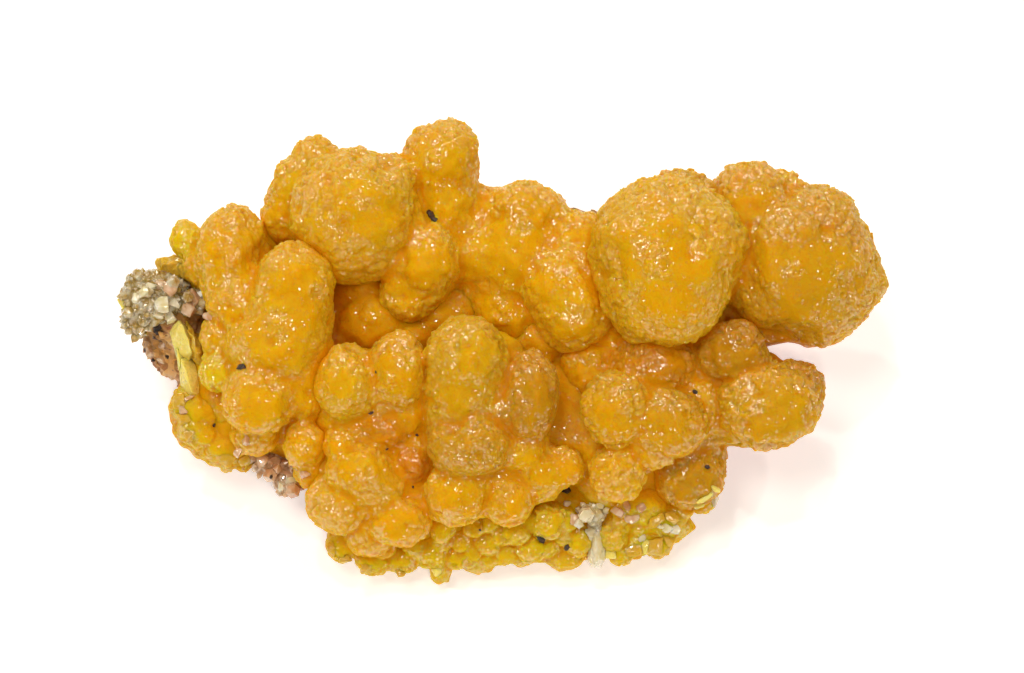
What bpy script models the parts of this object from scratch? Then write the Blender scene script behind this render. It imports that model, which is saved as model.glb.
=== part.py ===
"""Mimetite specimen: a fused crust of round yellow-orange knobs on a lean rock, with quartz at its edges.

The rock rests on the flat of its underside. The face that carries the knobs looks up and a little forward, and
places on it are given in millimetres as across (to the right), up (up the face) and out (out of the face), from
a datum in the face above the middle of the base. The world has +Z up, and its origin is on the base.
"""

import math

import bmesh
import bpy
from mathutils import Matrix, Vector, noise

MM = 0.001
FACE_LEAN = math.radians(22)
DATUM_HEIGHT = 4.5
GAP = 0.33

# Unevenness of a knob, as shares of its size: broad swellings and finer lumps, with how many fit round it.
SWELLING, SWELLINGS_ROUND = 0.07, 1.5
LUMP, LUMPS_ROUND = 0.035, 4.0

# A stalk joins a knob to the bed. It is this share of the knob's size at its top and at its foot, and the foot
# lies in from the knob by a share of the knob's place up the face, and keeps inside the bed's extent.
STALK_TOP, STALK_FOOT = 0.9, 0.9
STALK_LEAN, STALK_SET_BACK = 0.2, 2.0
FOOT_OUT = -0.2
FOOT_ACROSS = (-14.5, 8.6)
FOOT_UP = (-9.0, 5.6)

# Fineness of the solids: the voxels that fuse the lumps, in millimetres, and the share of faces that stays.
CRUST_VOXEL, CRUST_KEPT = 0.3, 0.092
ROCK_VOXEL, ROCK_KEPT = 0.5, 0.145
SMALL_ROOM_VOXEL, SMALL_ROOM_KEPT = 0.25, 0.15
ROCK_ROOM_KEPT = 0.1

# The broken surface of the rock: the size and the height of its ledges, and of its pits.
LEDGE_SIZE, LEDGE_HEIGHT = 2.6, 1.1
PIT_SIZE, PIT_DEPTH = 0.9, 0.7

# Knobs of the crust: across, up, out, half the width, half the height.
RIGHT_GIANTS = [
    (8.2, 5.0, 4.8, 3.75, 4.15),
    (9.0, 8.1, 3.4, 1.6, 1.3),
    (14.9, 4.6, 2.6, 3.95, 3.95),
    (12.4, 7.4, 2.6, 2.3, 2.2),
    (14.6, 7.1, 2.4, 1.9, 1.7),
    (13.15, -2.25, 4.0, 2.5, 2.25),
    (14.6, -1.45, 3.6, 1.4, 1.4),
    (11.45, 0.35, 4.0, 1.75, 1.65),
]
RIGHT_LOBES = [
    (5.75, -2.45, 4.9, 1.75, 1.85),
    (8.2, -3.1, 4.8, 1.9, 1.75),
    (7.4, -4.1, 4.4, 1.5, 1.2),
    (7.6, -0.35, 3.6, 2.1, 1.75),
    (9.9, -2.2, 3.0, 1.4, 1.8),
    (4.4, -0.4, 2.4, 1.4, 1.4),
    (5.2, 0.9, 2.2, 1.3, 1.3),
    (5.8, -5.6, 4.6, 1.35, 1.35),
    (9.5, -5.8, 2.6, 1.75, 1.6),
    (10.4, -4.9, 2.4, 1.1, 1.1),
]
BACK_ROW = [
    (4.1, 5.8, 2.8, 1.55, 1.5),
    (3.1, 3.8, 3.3, 1.95, 2.1),
    (3.6, 2.2, 3.3, 1.85, 1.75),
    (1.2, 7.2, 2.8, 1.7, 1.7),
    (2.4, 7.2, 2.6, 0.9, 0.95),
    (0.65, 5.25, 2.2, 2.1, 2.3),
    (0.25, 2.75, 1.2, 2.0, 2.0),
    (-0.65, 7.4, 2.0, 1.15, 1.15),
    (-1.1, 5.5, 1.8, 1.8, 2.2),
    (-2.9, 9.95, 3.0, 1.8, 1.9),
    (-2.65, 7.75, 2.4, 1.5, 2.0),
    (-3.6, 4.8, 4.0, 1.6, 1.8),
    (-4.5, 3.4, 3.4, 1.5, 1.5),
    (-7.1, 7.3, 3.9, 3.1, 3.15),
    (-9.15, 10.05, 3.0, 1.0, 1.0),
    (-9.9, 8.75, 2.9, 1.3, 1.4),
    (-10.7, 7.3, 2.6, 1.1, 1.3),
]
LEFT_SHOULDER = [
    (-13.75, 5.65, 3.4, 1.5, 2.0),
    (-12.85, 6.1, 3.0, 1.2, 1.35),
    (-13.2, 4.0, 3.2, 1.5, 1.5),
    (-10.0, 3.75, 4.8, 1.95, 2.1),
    (-10.35, 2.2, 4.6, 2.1, 1.8),
    (-10.75, 0.75, 4.4, 2.4, 2.0),
    (-9.85, -1.2, 3.6, 1.6, 1.9),
    (-12.5, 1.0, 3.8, 1.2, 1.5),
    (-13.1, 2.9, 3.8, 1.25, 1.3),
    (-13.95, 1.2, 3.4, 0.85, 0.9),
    (-13.95, -0.55, 3.4, 0.92, 1.0),
    (-11.9, -1.85, 4.8, 1.75, 1.75),
    (-12.1, -3.5, 2.8, 1.25, 1.25),
    (-9.6, -4.15, 4.0, 1.05, 1.15),
    (-9.3, -5.5, 3.0, 0.9, 0.9),
    (-15.6, 6.0, 1.8, 0.8, 0.9),
    (-14.75, 4.6, 2.4, 0.9, 0.9),
]
MIDDLE_RIDGE = [
    (-7.65, -1.1, 5.0, 1.4, 1.85),
    (-5.0, -0.5, 5.0, 1.35, 1.9),
    (-4.6, -2.4, 3.6, 1.3, 1.6),
    (-7.9, -2.6, 3.4, 1.3, 1.4),
    (-1.6, 0.15, 5.4, 2.0, 2.0),
    (-1.7, -1.7, 4.8, 1.9, 1.9),
    (1.15, -1.9, 5.2, 1.35, 2.3),
    (-1.7, -4.25, 5.2, 2.0, 1.5),
    (1.0, -4.2, 4.2, 1.3, 1.4),
    (3.25, -5.25, 4.0, 0.85, 0.9),
    (2.0, -5.5, 3.6, 1.35, 1.4),
    (-5.75, -3.45, 4.0, 1.35, 1.1),
    (-4.45, -5.1, 3.8, 0.95, 1.0),
    (-7.75, -4.15, 4.3, 0.95, 0.85),
    (-6.9, -5.4, 4.3, 1.6, 1.35),
    (-6.1, -6.1, 3.9, 1.4, 1.3),
    (-8.0, -7.0, 3.4, 1.5, 1.6),
    (-5.0, -7.85, 3.6, 1.65, 1.3),
    (-3.9, -7.2, 3.2, 0.75, 0.8),
    (-8.9, -4.9, 2.6, 1.0, 1.4),
    (-6.4, -8.3, 2.4, 1.4, 1.4),
    (-2.15, -6.6, 4.2, 1.55, 1.6),
    (0.45, -6.95, 4.0, 1.15, 1.25),
]
LOWER_RIM = [
    (-2.85, -8.3, 2.6, 0.6, 0.7),
    (2.35, -8.0, 2.6, 0.9, 0.85),
    (0.8, -8.5, 2.4, 0.7, 0.65),
    (1.6, -9.3, 1.8, 0.85, 0.65),
    (0.3, -9.6, 1.4, 0.7, 0.6),
    (-0.5, -9.1, 1.8, 0.6, 0.55),
    (-1.95, -8.95, 1.9, 0.5, 0.5),
    (-2.2, -9.8, 1.3, 0.6, 0.6),
    (-2.95, -10.5, 0.9, 0.5, 0.6),
    (-3.4, -9.4, 1.4, 1.0, 1.0),
    (-1.1, -10.0, 0.8, 0.9, 0.6),
    (-7.75, -9.1, 1.4, 0.9, 0.9),
    (-6.25, -9.9, 1.2, 0.9, 0.75),
    (-4.9, -9.9, 1.2, 0.9, 0.7),
    (8.0, -8.0, 1.6, 1.15, 0.75),
    (7.85, -9.2, 1.2, 0.65, 0.65),
    (5.6, -8.8, 1.9, 0.65, 0.65),
    (6.0, -9.6, 1.4, 0.6, 0.6),
    (6.8, -9.1, 1.4, 0.6, 0.7),
    (3.2, -9.9, 0.9, 0.9, 0.6),
    (3.9, -9.0, 1.8, 0.7, 0.7),
    (6.9, -7.2, 2.0, 1.3, 1.0),
    (10.0, -7.0, 1.6, 0.7, 0.6),
    (-15.1, -3.3, 1.6, 0.9, 0.9),
    (-13.75, -4.2, 1.4, 1.1, 0.85),
    (-15.6, -2.2, 1.8, 0.8, 0.9),
    (-12.8, -5.0, 0.8, 0.5, 0.5),
]
# Deep lumps that show between the knobs, far down in the hollow.
HOLLOW = [
    (3.65, -1.5, 1.6, 1.5, 1.6),
    (2.9, -3.5, 1.8, 1.3, 1.3),
    (2.0, 1.0, 2.0, 1.1, 1.1),
    (3.6, -4.1, 3.0, 0.5, 0.5),
    (4.6, -4.4, 2.8, 0.9, 1.1),
    (-6.75, 3.4, 1.8, 1.4, 1.4),
    (-6.1, 1.9, 2.2, 1.8, 1.5),
    (-3.0, 2.25, 1.6, 1.8, 1.6),
    (-4.3, 1.2, 2.8, 0.9, 0.7),
]
# The bed of mimetite that the knobs grow from, as low swells: as a knob, and then half the thickness.
BED = [
    (-10.6, -0.6, 0.8, 4.6, 4.4, 1.9),
    (-2.5, -2.6, 1.2, 7.2, 4.4, 1.9),
    (6.2, -2.6, 1.0, 4.6, 5.0, 1.9),
    (-5.0, 4.0, 0.6, 8.0, 3.6, 1.7),
    (3.8, 3.2, 0.6, 5.4, 3.6, 1.7),
    (-4.2, -7.0, 1.0, 4.9, 2.6, 1.7),
    (3.5, -7.2, 0.4, 6.2, 2.4, 1.4),
    (0.8, -8.5, 0.4, 8.2, 1.6, 1.0),
    (-14.2, -2.4, 0.6, 2.4, 2.2, 1.2),
]

# Lumps of the rock under the face: across, up and out of the middle, then the half sizes.
ROCK_FACE = [
    (-14.0, 1.3, -1.2, 4.2, 3.2, 2.0),
    (-8.5, -0.8, -1.6, 6.4, 5.6, 2.4),
    (-2.0, -3.2, -1.6, 7.8, 7.1, 2.4),
    (4.0, -3.4, -1.6, 6.1, 6.4, 2.3),
    (-3.0, 4.0, -1.7, 11.0, 4.4, 2.5),
    (-16.4, 2.7, 0.0, 1.8, 2.0, 1.6),
]
# Lumps of the rock down to the base, which cuts them off flat: x, y and z of the middle, then the half sizes.
ROCK_FOOT = [
    (-13.0, 2.0, 1.6, 4.2, 3.8, 2.8),
    (-6.5, 1.6, 1.6, 8.0, 6.0, 3.0),
    (0.0, -2.6, 0.4, 9.0, 6.4, 2.2),
    (-3.0, 4.6, 2.4, 10.5, 3.6, 3.6),
]

# Quartz and glassy mimetite at the edges. A lump is as a knob, and then half the thickness. A crystal is the
# across, up and out of its root, the same of its tip, and its radius.
QUARTZ_LEFT_LUMPS = [
    (-17.55, 3.1, 1.5, 1.35, 1.5, 1.2),
    (-16.6, 3.2, 1.6, 1.1, 1.1, 1.0),
    (-15.2, 2.9, 1.5, 1.1, 0.7, 0.8),
    (-18.0, 2.0, 1.1, 0.8, 0.9, 0.9),
]
QUARTZ_LEFT_CRYSTALS = [
    (-16.4, 3.2, 1.4, -16.1, 4.0, 3.5, 0.48),
    (-16.5, 2.6, 1.4, -16.9, 2.7, 3.4, 0.42),
    (-17.6, 3.6, 1.5, -18.1, 4.5, 2.7, 0.4),
    (-17.8, 2.6, 1.5, -18.7, 2.3, 2.5, 0.42),
    (-17.3, 3.2, 1.6, -17.5, 3.5, 3.2, 0.45),
    (-15.6, 2.9, 1.4, -15.4, 3.2, 3.1, 0.4),
    (-14.9, 2.9, 1.4, -14.6, 2.8, 3.0, 0.4),
]
LEMON_CRYSTALS = [
    (-16.0, 2.1, 1.3, -15.2, -0.3, 2.3, 0.75),
    (-15.7, 0.3, 1.3, -15.1, -2.2, 2.0, 0.8),
]
SEAM_LUMPS = [
    (-11.5, -5.3, 0.9, 0.9, 0.7, 0.9),
    (-10.6, -6.1, 0.9, 0.8, 0.8, 0.9),
]
SEAM_CRYSTALS = [
    (-11.2, -5.5, 0.8, -11.5, -5.8, 2.4, 0.4),
    (-10.5, -6.2, 0.8, -10.2, -6.6, 2.5, 0.42),
]
RIM_MIDDLE_LUMPS = [
    (4.6, -7.6, 2.0, 0.75, 0.65, 0.9),
    (4.7, -8.6, 1.5, 0.5, 0.9, 0.7),
]
RIM_MIDDLE_CRYSTALS = [
    (4.5, -7.5, 1.8, 4.2, -7.7, 3.6, 0.45),
    (4.9, -8.3, 1.6, 4.7, -10.2, 2.1, 0.42),
]
RIM_RIGHT_LUMPS = [
    (10.2, -6.1, 1.2, 0.6, 0.6, 0.8),
]
RIM_RIGHT_CRYSTALS = [
    (10.2, -6.0, 1.3, 11.0, -6.0, 2.3, 0.4),
    (10.2, -6.3, 1.2, 10.7, -7.3, 2.0, 0.4),
]
CRYSTAL_TIP = 0.9

# Each part's colour and roughness.
FINISHES = {
    "mimetite_crust": ((0.80, 0.42, 0.02), 0.3),
    "rock_matrix": ((0.36, 0.24, 0.13), 0.8),
    "lemon_mimetite_blade": ((0.72, 0.68, 0.10), 0.2),
    "quartz_left": ((0.62, 0.56, 0.42), 0.15),
    "quartz_seam_lower_left": ((0.78, 0.62, 0.50), 0.2),
    "quartz_rim_middle": ((0.80, 0.80, 0.60), 0.2),
    "quartz_rim_right": ((0.72, 0.72, 0.45), 0.2),
}


def place(across, up, out):
    """A place on the face, in metres."""
    sine, cosine = math.sin(FACE_LEAN), math.cos(FACE_LEAN)
    return Vector((across, up * cosine - out * sine, up * sine + out * cosine + DATUM_HEIGHT)) * MM


def face_turn():
    """The turn that takes across, up and out to the world's axes."""
    return Matrix.Rotation(FACE_LEAN, 4, "X")


def uneven(direction, middle):
    """How far a lump's surface stands out in one direction, as a share of its size."""
    seed = middle * (0.37 / MM)
    swelling = noise.noise(direction * SWELLINGS_ROUND + seed)
    lump = noise.noise(direction * LUMPS_ROUND + seed)
    return 1 + SWELLING * swelling + LUMP * lump


def add_lump(mesh, middle, half_sizes, turn):
    """One uneven ball, added to the mesh that is being gathered."""
    made = bmesh.ops.create_icosphere(mesh, subdivisions=3, radius=1)
    sizes = Matrix.Diagonal([size * MM for size in half_sizes] + [1])
    for vertex in made["verts"]:
        direction = vertex.co.copy()
        vertex.co = middle + turn @ sizes @ (direction * uneven(direction, middle))


def axes_along(along):
    """A turn whose Z runs along a direction, with X kept as near across the face as it can be."""
    z = along.normalized()
    y = z.cross(Vector((1, 0, 0))).normalized()
    x = y.cross(z)
    return Matrix((x, y, z)).transposed().to_4x4()


def add_stalk(mesh, knob):
    """The stalk under a knob: a tapered column from the knob's middle to its foot on the bed."""
    across, up, out, half_width, half_height = knob
    foot_across = min(max(across, FOOT_ACROSS[0]), FOOT_ACROSS[1])
    foot_up = up - STALK_LEAN * (up + STALK_SET_BACK)
    foot_up = min(max(foot_up, FOOT_UP[0]), FOOT_UP[1])
    top, foot = place(across, up, out), place(foot_across, foot_up, FOOT_OUT)
    along = top - foot
    sizes = Matrix.Diagonal((half_width * MM, half_height * MM, 1, 1))
    bmesh.ops.create_cone(
        mesh, cap_ends=True, segments=16, depth=along.length, radius1=STALK_FOOT, radius2=STALK_TOP,
        matrix=Matrix.Translation((top + foot) / 2) @ axes_along(along) @ sizes,
    )


def add_crystal(mesh, crystal):
    """One six-sided crystal with a pyramid for its tip."""
    root, tip, radius = place(*crystal[:3]), place(*crystal[3:6]), crystal[6] * MM
    along = tip - root
    shaft = along.length - CRYSTAL_TIP * radius
    made = bmesh.ops.create_cone(
        mesh, cap_ends=True, segments=6, depth=shaft, radius1=radius, radius2=radius * 0.92,
        matrix=Matrix.Translation(root + along.normalized() * shaft / 2) @ axes_along(along),
    )
    faces = {face for vertex in made["verts"] for face in vertex.link_faces}
    for face in faces:
        face.normal_update()
    top = max(faces, key=lambda face: face.normal.dot(along.normalized()))
    bmesh.ops.poke(mesh, faces=[top], offset=CRYSTAL_TIP * radius)


def object_from(mesh, name, collection):
    """A new object that holds the gathered mesh."""
    data = bpy.data.meshes.new(name)
    mesh.to_mesh(data)
    mesh.free()
    made = bpy.data.objects.new(name, data)
    collection.objects.link(made)
    return made


def hide(helper):
    helper.hide_render = True
    helper.display_type = "WIRE"


def fuse(target, voxel, kept):
    """Grows the overlapping lumps of one object together, and keeps a share of the faces."""
    remesh = target.modifiers.new("grow together", "REMESH")
    remesh.mode = "VOXEL"
    remesh.voxel_size = voxel * MM
    thin = target.modifiers.new("fewer faces", "DECIMATE")
    thin.ratio = kept


def combine(target, other, operation):
    """Joins another object to the target, or cuts it out of the target."""
    modifier = target.modifiers.new(operation.lower() + " " + other.name, "BOOLEAN")
    modifier.operation = operation
    modifier.object = other


def settle(target):
    """Makes the modifiers' result the object's own mesh, and drops the crumbs that a cut leaves loose."""
    graph = bpy.context.evaluated_depsgraph_get()
    data = bpy.data.meshes.new_from_object(target.evaluated_get(graph))
    target.modifiers.clear()
    target.data = data
    mesh = bmesh.new()
    mesh.from_mesh(data)
    bmesh.ops.triangulate(mesh, faces=mesh.faces)
    bodies = []
    unseen = set(mesh.verts)
    while unseen:
        body, edge_of_search = set(), [unseen.pop()]
        while edge_of_search:
            vertex = edge_of_search.pop()
            body.add(vertex)
            near = {edge.other_vert(vertex) for edge in vertex.link_edges} & unseen
            unseen -= near
            edge_of_search.extend(near)
        bodies.append(body)
    bodies.sort(key=len)
    crumbs = [vertex for body in bodies[:-1] for vertex in body]
    bmesh.ops.delete(mesh, geom=crumbs, context="VERTS")
    mesh.to_mesh(data)
    mesh.free()


def swollen_copy(source, voxel, kept, cutters):
    """A cutter: the shape of another part, grown by the gap all round."""
    cutter = bpy.data.objects.new(source.name + "_room", source.data.copy())
    cutters.objects.link(cutter)
    grow = cutter.modifiers.new("gap", "DISPLACE")
    grow.strength = GAP * MM
    grow.mid_level = 0
    fuse(cutter, voxel, kept)
    hide(cutter)
    return cutter


def make_crystal_group(name, lumps, crystals, parts, cutters):
    """Crystals grown into one another and into the lumps that they stand on, as one solid."""
    turn = face_turn()
    mesh = bmesh.new()
    for across, up, out, *half_sizes in lumps:
        add_lump(mesh, place(across, up, out), half_sizes, turn)
    group = object_from(mesh, name, parts)
    fuse(group, 0.25, 0.12)
    settle(group)
    helpers = []
    for number, crystal in enumerate(crystals):
        mesh = bmesh.new()
        add_crystal(mesh, crystal)
        helper = object_from(mesh, f"{name}_crystal_{number}", cutters)
        hide(helper)
        helpers.append(helper)
        combine(group, helper, "UNION")
    settle(group)
    return group


def make_lemon_blade(parts, cutters):
    mesh = bmesh.new()
    add_crystal(mesh, LEMON_CRYSTALS[0])
    blade = object_from(mesh, "lemon_mimetite_blade", parts)
    mesh = bmesh.new()
    add_crystal(mesh, LEMON_CRYSTALS[1])
    lower = object_from(mesh, "lemon_mimetite_blade_lower", cutters)
    hide(lower)
    combine(blade, lower, "UNION")
    settle(blade)
    return blade


def make_floor_cutter(cutters):
    """A block below the base, to cut the rock off flat."""
    mesh = bmesh.new()
    bmesh.ops.create_cube(mesh, size=0.08, matrix=Matrix.Translation((0, 0, -0.04)))
    floor = object_from(mesh, "below_the_base", cutters)
    hide(floor)
    return floor


def roughen(target, name, kind, scale, strength):
    """Lifts and sinks the surface by a noise of a given size and strength, both in millimetres."""
    relief = bpy.data.textures.new(name, kind)
    relief.noise_scale = scale * MM
    rough = target.modifiers.new(name, "DISPLACE")
    rough.texture = relief
    rough.texture_coords = "LOCAL"
    rough.strength = strength * MM
    rough.mid_level = 0.5


def make_rock(parts):
    mesh = bmesh.new()
    for across, up, out, *half_sizes in ROCK_FACE:
        add_lump(mesh, place(across, up, out), half_sizes, face_turn())
    for x, y, z, *half_sizes in ROCK_FOOT:
        add_lump(mesh, Vector((x, y, z)) * MM, half_sizes, Matrix.Identity(4))
    rock = object_from(mesh, "rock_matrix", parts)
    remesh = rock.modifiers.new("grow together", "REMESH")
    remesh.mode = "VOXEL"
    remesh.voxel_size = ROCK_VOXEL * MM
    roughen(rock, "ledges", "VORONOI", LEDGE_SIZE, LEDGE_HEIGHT)
    roughen(rock, "pits", "CLOUDS", PIT_SIZE, PIT_DEPTH)
    fuse(rock, ROCK_VOXEL, ROCK_KEPT)
    return rock


def make_crust(parts):
    mesh = bmesh.new()
    turn = face_turn()
    for group in (RIGHT_GIANTS, RIGHT_LOBES, BACK_ROW, LEFT_SHOULDER, MIDDLE_RIDGE, LOWER_RIM, HOLLOW):
        for knob in group:
            across, up, out, half_width, half_height = knob
            add_lump(mesh, place(across, up, out), (half_width, half_height, (half_width + half_height) / 2), turn)
            add_stalk(mesh, knob)
    for across, up, out, *half_sizes in BED:
        add_lump(mesh, place(across, up, out), half_sizes, turn)
    crust = object_from(mesh, "mimetite_crust", parts)
    fuse(crust, CRUST_VOXEL, CRUST_KEPT)
    return crust


def paint(target):
    """Gives a part its own material."""
    color, roughness = FINISHES[target.name]
    material = bpy.data.materials.new(target.name)
    material.use_nodes = True
    surface = material.node_tree.nodes["Principled BSDF"].inputs
    surface["Base Color"].default_value = (*color, 1)
    surface["Roughness"].default_value = roughness
    surface["Metallic"].default_value = 0
    target.data.materials.clear()
    target.data.materials.append(material)


def main():
    for old in list(bpy.data.objects):
        bpy.data.objects.remove(old)
    parts = bpy.data.collections.new("mimetite_specimen")
    cutters = bpy.data.collections.new("cutters")
    for collection in (parts, cutters):
        bpy.context.scene.collection.children.link(collection)

    small = [
        make_crystal_group("quartz_left", QUARTZ_LEFT_LUMPS, QUARTZ_LEFT_CRYSTALS, parts, cutters),
        make_crystal_group("quartz_seam_lower_left", SEAM_LUMPS, SEAM_CRYSTALS, parts, cutters),
        make_crystal_group("quartz_rim_middle", RIM_MIDDLE_LUMPS, RIM_MIDDLE_CRYSTALS, parts, cutters),
        make_crystal_group("quartz_rim_right", RIM_RIGHT_LUMPS, RIM_RIGHT_CRYSTALS, parts, cutters),
        make_lemon_blade(parts, cutters),
    ]
    rock = make_rock(parts)
    crust = make_crust(parts)
    combine(rock, make_floor_cutter(cutters), "DIFFERENCE")
    rooms = [swollen_copy(part, SMALL_ROOM_VOXEL, SMALL_ROOM_KEPT, cutters) for part in small]
    for room in rooms:
        combine(rock, room, "DIFFERENCE")
    settle(rock)
    rooms.append(swollen_copy(rock, ROCK_VOXEL, ROCK_ROOM_KEPT, cutters))
    for room in rooms:
        combine(crust, room, "DIFFERENCE")
    settle(crust)
    for part in [*small, rock, crust]:
        paint(part)


if __name__ == "__main__":
    main()
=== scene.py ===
"""Mimetite specimen: the look of a grape-like crust of mimetite on a piece of gossan, with quartz at its edges.

Places on the face that carries the knobs are in millimetres: across (to the right), up (up the face) and out
(out of the face), from the datum that the solids use. The meshes are grown in millimetres and set to metres last.
"""
import math
import random

import bmesh
import bpy
import numpy as np
from mathutils import Matrix, Vector, noise


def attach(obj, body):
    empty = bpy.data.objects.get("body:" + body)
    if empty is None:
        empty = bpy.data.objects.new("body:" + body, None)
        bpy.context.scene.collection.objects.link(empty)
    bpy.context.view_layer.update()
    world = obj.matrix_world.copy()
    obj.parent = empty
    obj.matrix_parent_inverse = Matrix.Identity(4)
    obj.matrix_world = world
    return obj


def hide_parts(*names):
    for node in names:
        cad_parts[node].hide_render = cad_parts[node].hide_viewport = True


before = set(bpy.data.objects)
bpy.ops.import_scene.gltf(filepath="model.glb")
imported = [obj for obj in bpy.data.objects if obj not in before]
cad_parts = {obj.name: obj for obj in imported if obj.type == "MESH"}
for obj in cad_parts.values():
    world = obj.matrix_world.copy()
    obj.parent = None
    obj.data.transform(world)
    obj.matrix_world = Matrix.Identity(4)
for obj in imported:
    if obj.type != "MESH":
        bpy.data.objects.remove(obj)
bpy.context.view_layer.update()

MM = 0.001
FACE_LEAN = math.radians(22)
DATUM_HEIGHT = 4.5
SIDE = Vector((1, 0, 0))
UP_FACE = Vector((0, math.cos(FACE_LEAN), math.sin(FACE_LEAN)))
OUT = Vector((0, -math.sin(FACE_LEAN), math.cos(FACE_LEAN)))
FACE_AXES = np.array([SIDE, UP_FACE, OUT])

# Unevenness of a knob, as a share of its size: broad swellings and finer lumps, with how many fit round it.
SWELLING, SWELLINGS_ROUND = 0.11, 1.6
LUMP, LUMPS_ROUND = 0.06, 4.2
# A knob's stalk: its width as a share of the knob's, how much it leans toward a line across the face and how far
# that line is below the datum, and where its foot may be.
STALK_WIDTH = 0.9
STALK_LEAN, STALK_SET_BACK = 0.2, 2.0
FOOT_OUT = -0.2
FOOT_ACROSS = (-14.5, 8.6)
FOOT_UP = (-9.0, 5.6)
# The fillets of a stalk, of the bed and of the rock's slabs, and how deep in a neighbour a face is left out.
STALK_BLEND, BED_BLEND, ROCK_BLEND = 0.3, 0.5, 0.8
BURIED = 0.45
# The druse as relief: domes and small crystals, across in millimetres, with how much they rise and slant. The real
# crystals are 0.1 to 0.2 mm across, and these are as coarse as they need to be to show.
DOME_ACROSS, DOME_RISE, DOME_SLANT = 0.5, 0.1, 0.7
CRYSTAL_ACROSS, CRYSTAL_RISE, CRYSTAL_SLANT = 0.27, 0.04, 0.5
LEAST_DRUSE = 0.08
# How far aside of a place the outer sides of the crust look for knobs, and over how far a knob's caps and tints
# give way to its neighbour's.
LOOK_ASIDE = 2.2
KNOB_FADE = 0.12
# The reach past a form's own size that a grid covers, and what is further than any distance that matters.
MARGIN, WINDOW = 0.4, 0.35
FAR = 9.0
# How lime and how tan a knob is, from 0 to 1, where its row doesn't say. The tan also stands for painted shade.
USUAL_TINTS = (0.1, 0.1)
RIM_TINTS = (0.75, 0.15)


# Knobs: across, up, out, half the width, half the height, and where it differs, how lime and how tan, the tan
# being partly painted shade on knobs that lie in shade. Each group is one piece of the crust.
RIGHT_GIANTS = [
    (8.2, 5.0, 4.8, 3.75, 4.15),
    (9.0, 8.1, 3.4, 1.6, 1.3, 0.1, 0.4),
    (14.9, 4.6, 2.6, 3.9, 3.9, 0.1, 0.45),
    (12.4, 7.4, 2.6, 2.3, 2.2, 0.1, 0.35),
    (14.6, 7.1, 2.4, 1.9, 1.7, 0.1, 0.45),
    (14.1, 8.45, 2.6, 0.9, 0.9),
    (15.9, 7.75, 2.4, 0.8, 0.8),
]
RIGHT_LOBES = [
    (13.15, -2.25, 4.0, 2.5, 2.25, 0.2, 0.45),
    (14.6, -1.45, 3.6, 1.4, 1.4, 0.0, 0.95),
    (11.45, 0.35, 4.0, 1.75, 1.65, 0.0, 0.8),
    (5.75, -2.45, 4.9, 1.75, 1.85, 0.1, 0.25),
    (8.2, -3.1, 4.8, 1.9, 1.75, 0.1, 0.4),
    (7.4, -4.1, 4.4, 1.5, 1.2),
    (7.6, -0.35, 3.6, 2.1, 1.75, -0.3, 0.35),
    (9.9, -2.2, 3.0, 1.4, 1.8),
    (4.4, -0.4, 2.4, 1.4, 1.4),
    (5.2, 0.9, 2.2, 1.3, 1.3),
    (5.8, -5.6, 4.6, 1.35, 1.35),
    (9.3, -5.8, 2.6, 1.7, 1.6, 0.3, 0.75),
    (10.15, -4.9, 2.4, 1.1, 1.1, 0.2, 0.8),
]
BACK_ROW = [
    (4.1, 5.8, 2.8, 1.55, 1.5),
    (3.1, 3.8, 3.3, 1.95, 2.1),
    (3.6, 2.2, 3.3, 1.85, 1.75),
    (1.2, 7.2, 2.8, 1.7, 1.7),
    (2.4, 7.2, 2.6, 0.9, 0.95),
    (0.65, 5.25, 2.2, 2.1, 2.3),
    (0.25, 2.75, 1.2, 2.0, 2.0),
    (-0.65, 7.4, 2.0, 1.15, 1.15),
    (-1.1, 5.5, 1.8, 1.8, 2.2),
    (-2.9, 9.95, 3.0, 1.8, 1.9),
    (-2.25, 11.0, 3.0, 0.85, 0.7),
    (-2.65, 7.75, 2.4, 1.5, 2.0),
    (-3.6, 4.8, 4.0, 1.6, 1.8),
    (-4.5, 3.4, 3.4, 1.5, 1.5),
    (-7.1, 7.3, 3.9, 3.1, 3.15),
    (-9.15, 10.05, 3.0, 1.0, 1.0),
    (-9.9, 8.75, 2.9, 1.3, 1.4),
    (-10.7, 7.3, 2.6, 1.1, 1.3),
]
LEFT_SHOULDER = [
    (-13.55, 5.4, 3.4, 1.45, 2.05),
    (-12.85, 6.1, 3.0, 1.2, 1.35),
    (-13.2, 4.0, 3.2, 1.5, 1.5),
    (-10.0, 3.75, 4.8, 1.95, 2.1),
    (-10.35, 2.2, 4.6, 2.1, 1.8),
    (-10.75, 0.75, 4.4, 2.4, 2.0),
    (-9.85, -1.2, 3.6, 1.6, 1.9),
    (-12.5, 1.0, 3.8, 1.2, 1.5),
    (-13.1, 2.9, 3.8, 1.25, 1.3),
    (-13.95, 1.2, 3.4, 0.85, 0.9),
    (-13.95, -0.55, 3.4, 0.92, 1.0, 0.8, 0.0),
    (-11.9, -1.85, 4.8, 1.75, 1.75),
    (-12.1, -3.5, 2.8, 1.25, 1.25),
    (-9.6, -4.15, 4.0, 1.05, 1.15),
    (-9.3, -5.5, 3.0, 0.9, 0.9),
    (-15.6, 6.0, 1.8, 0.8, 0.9, 0.9, 0.0),
    (-14.75, 4.6, 2.4, 0.9, 0.9),
]
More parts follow.
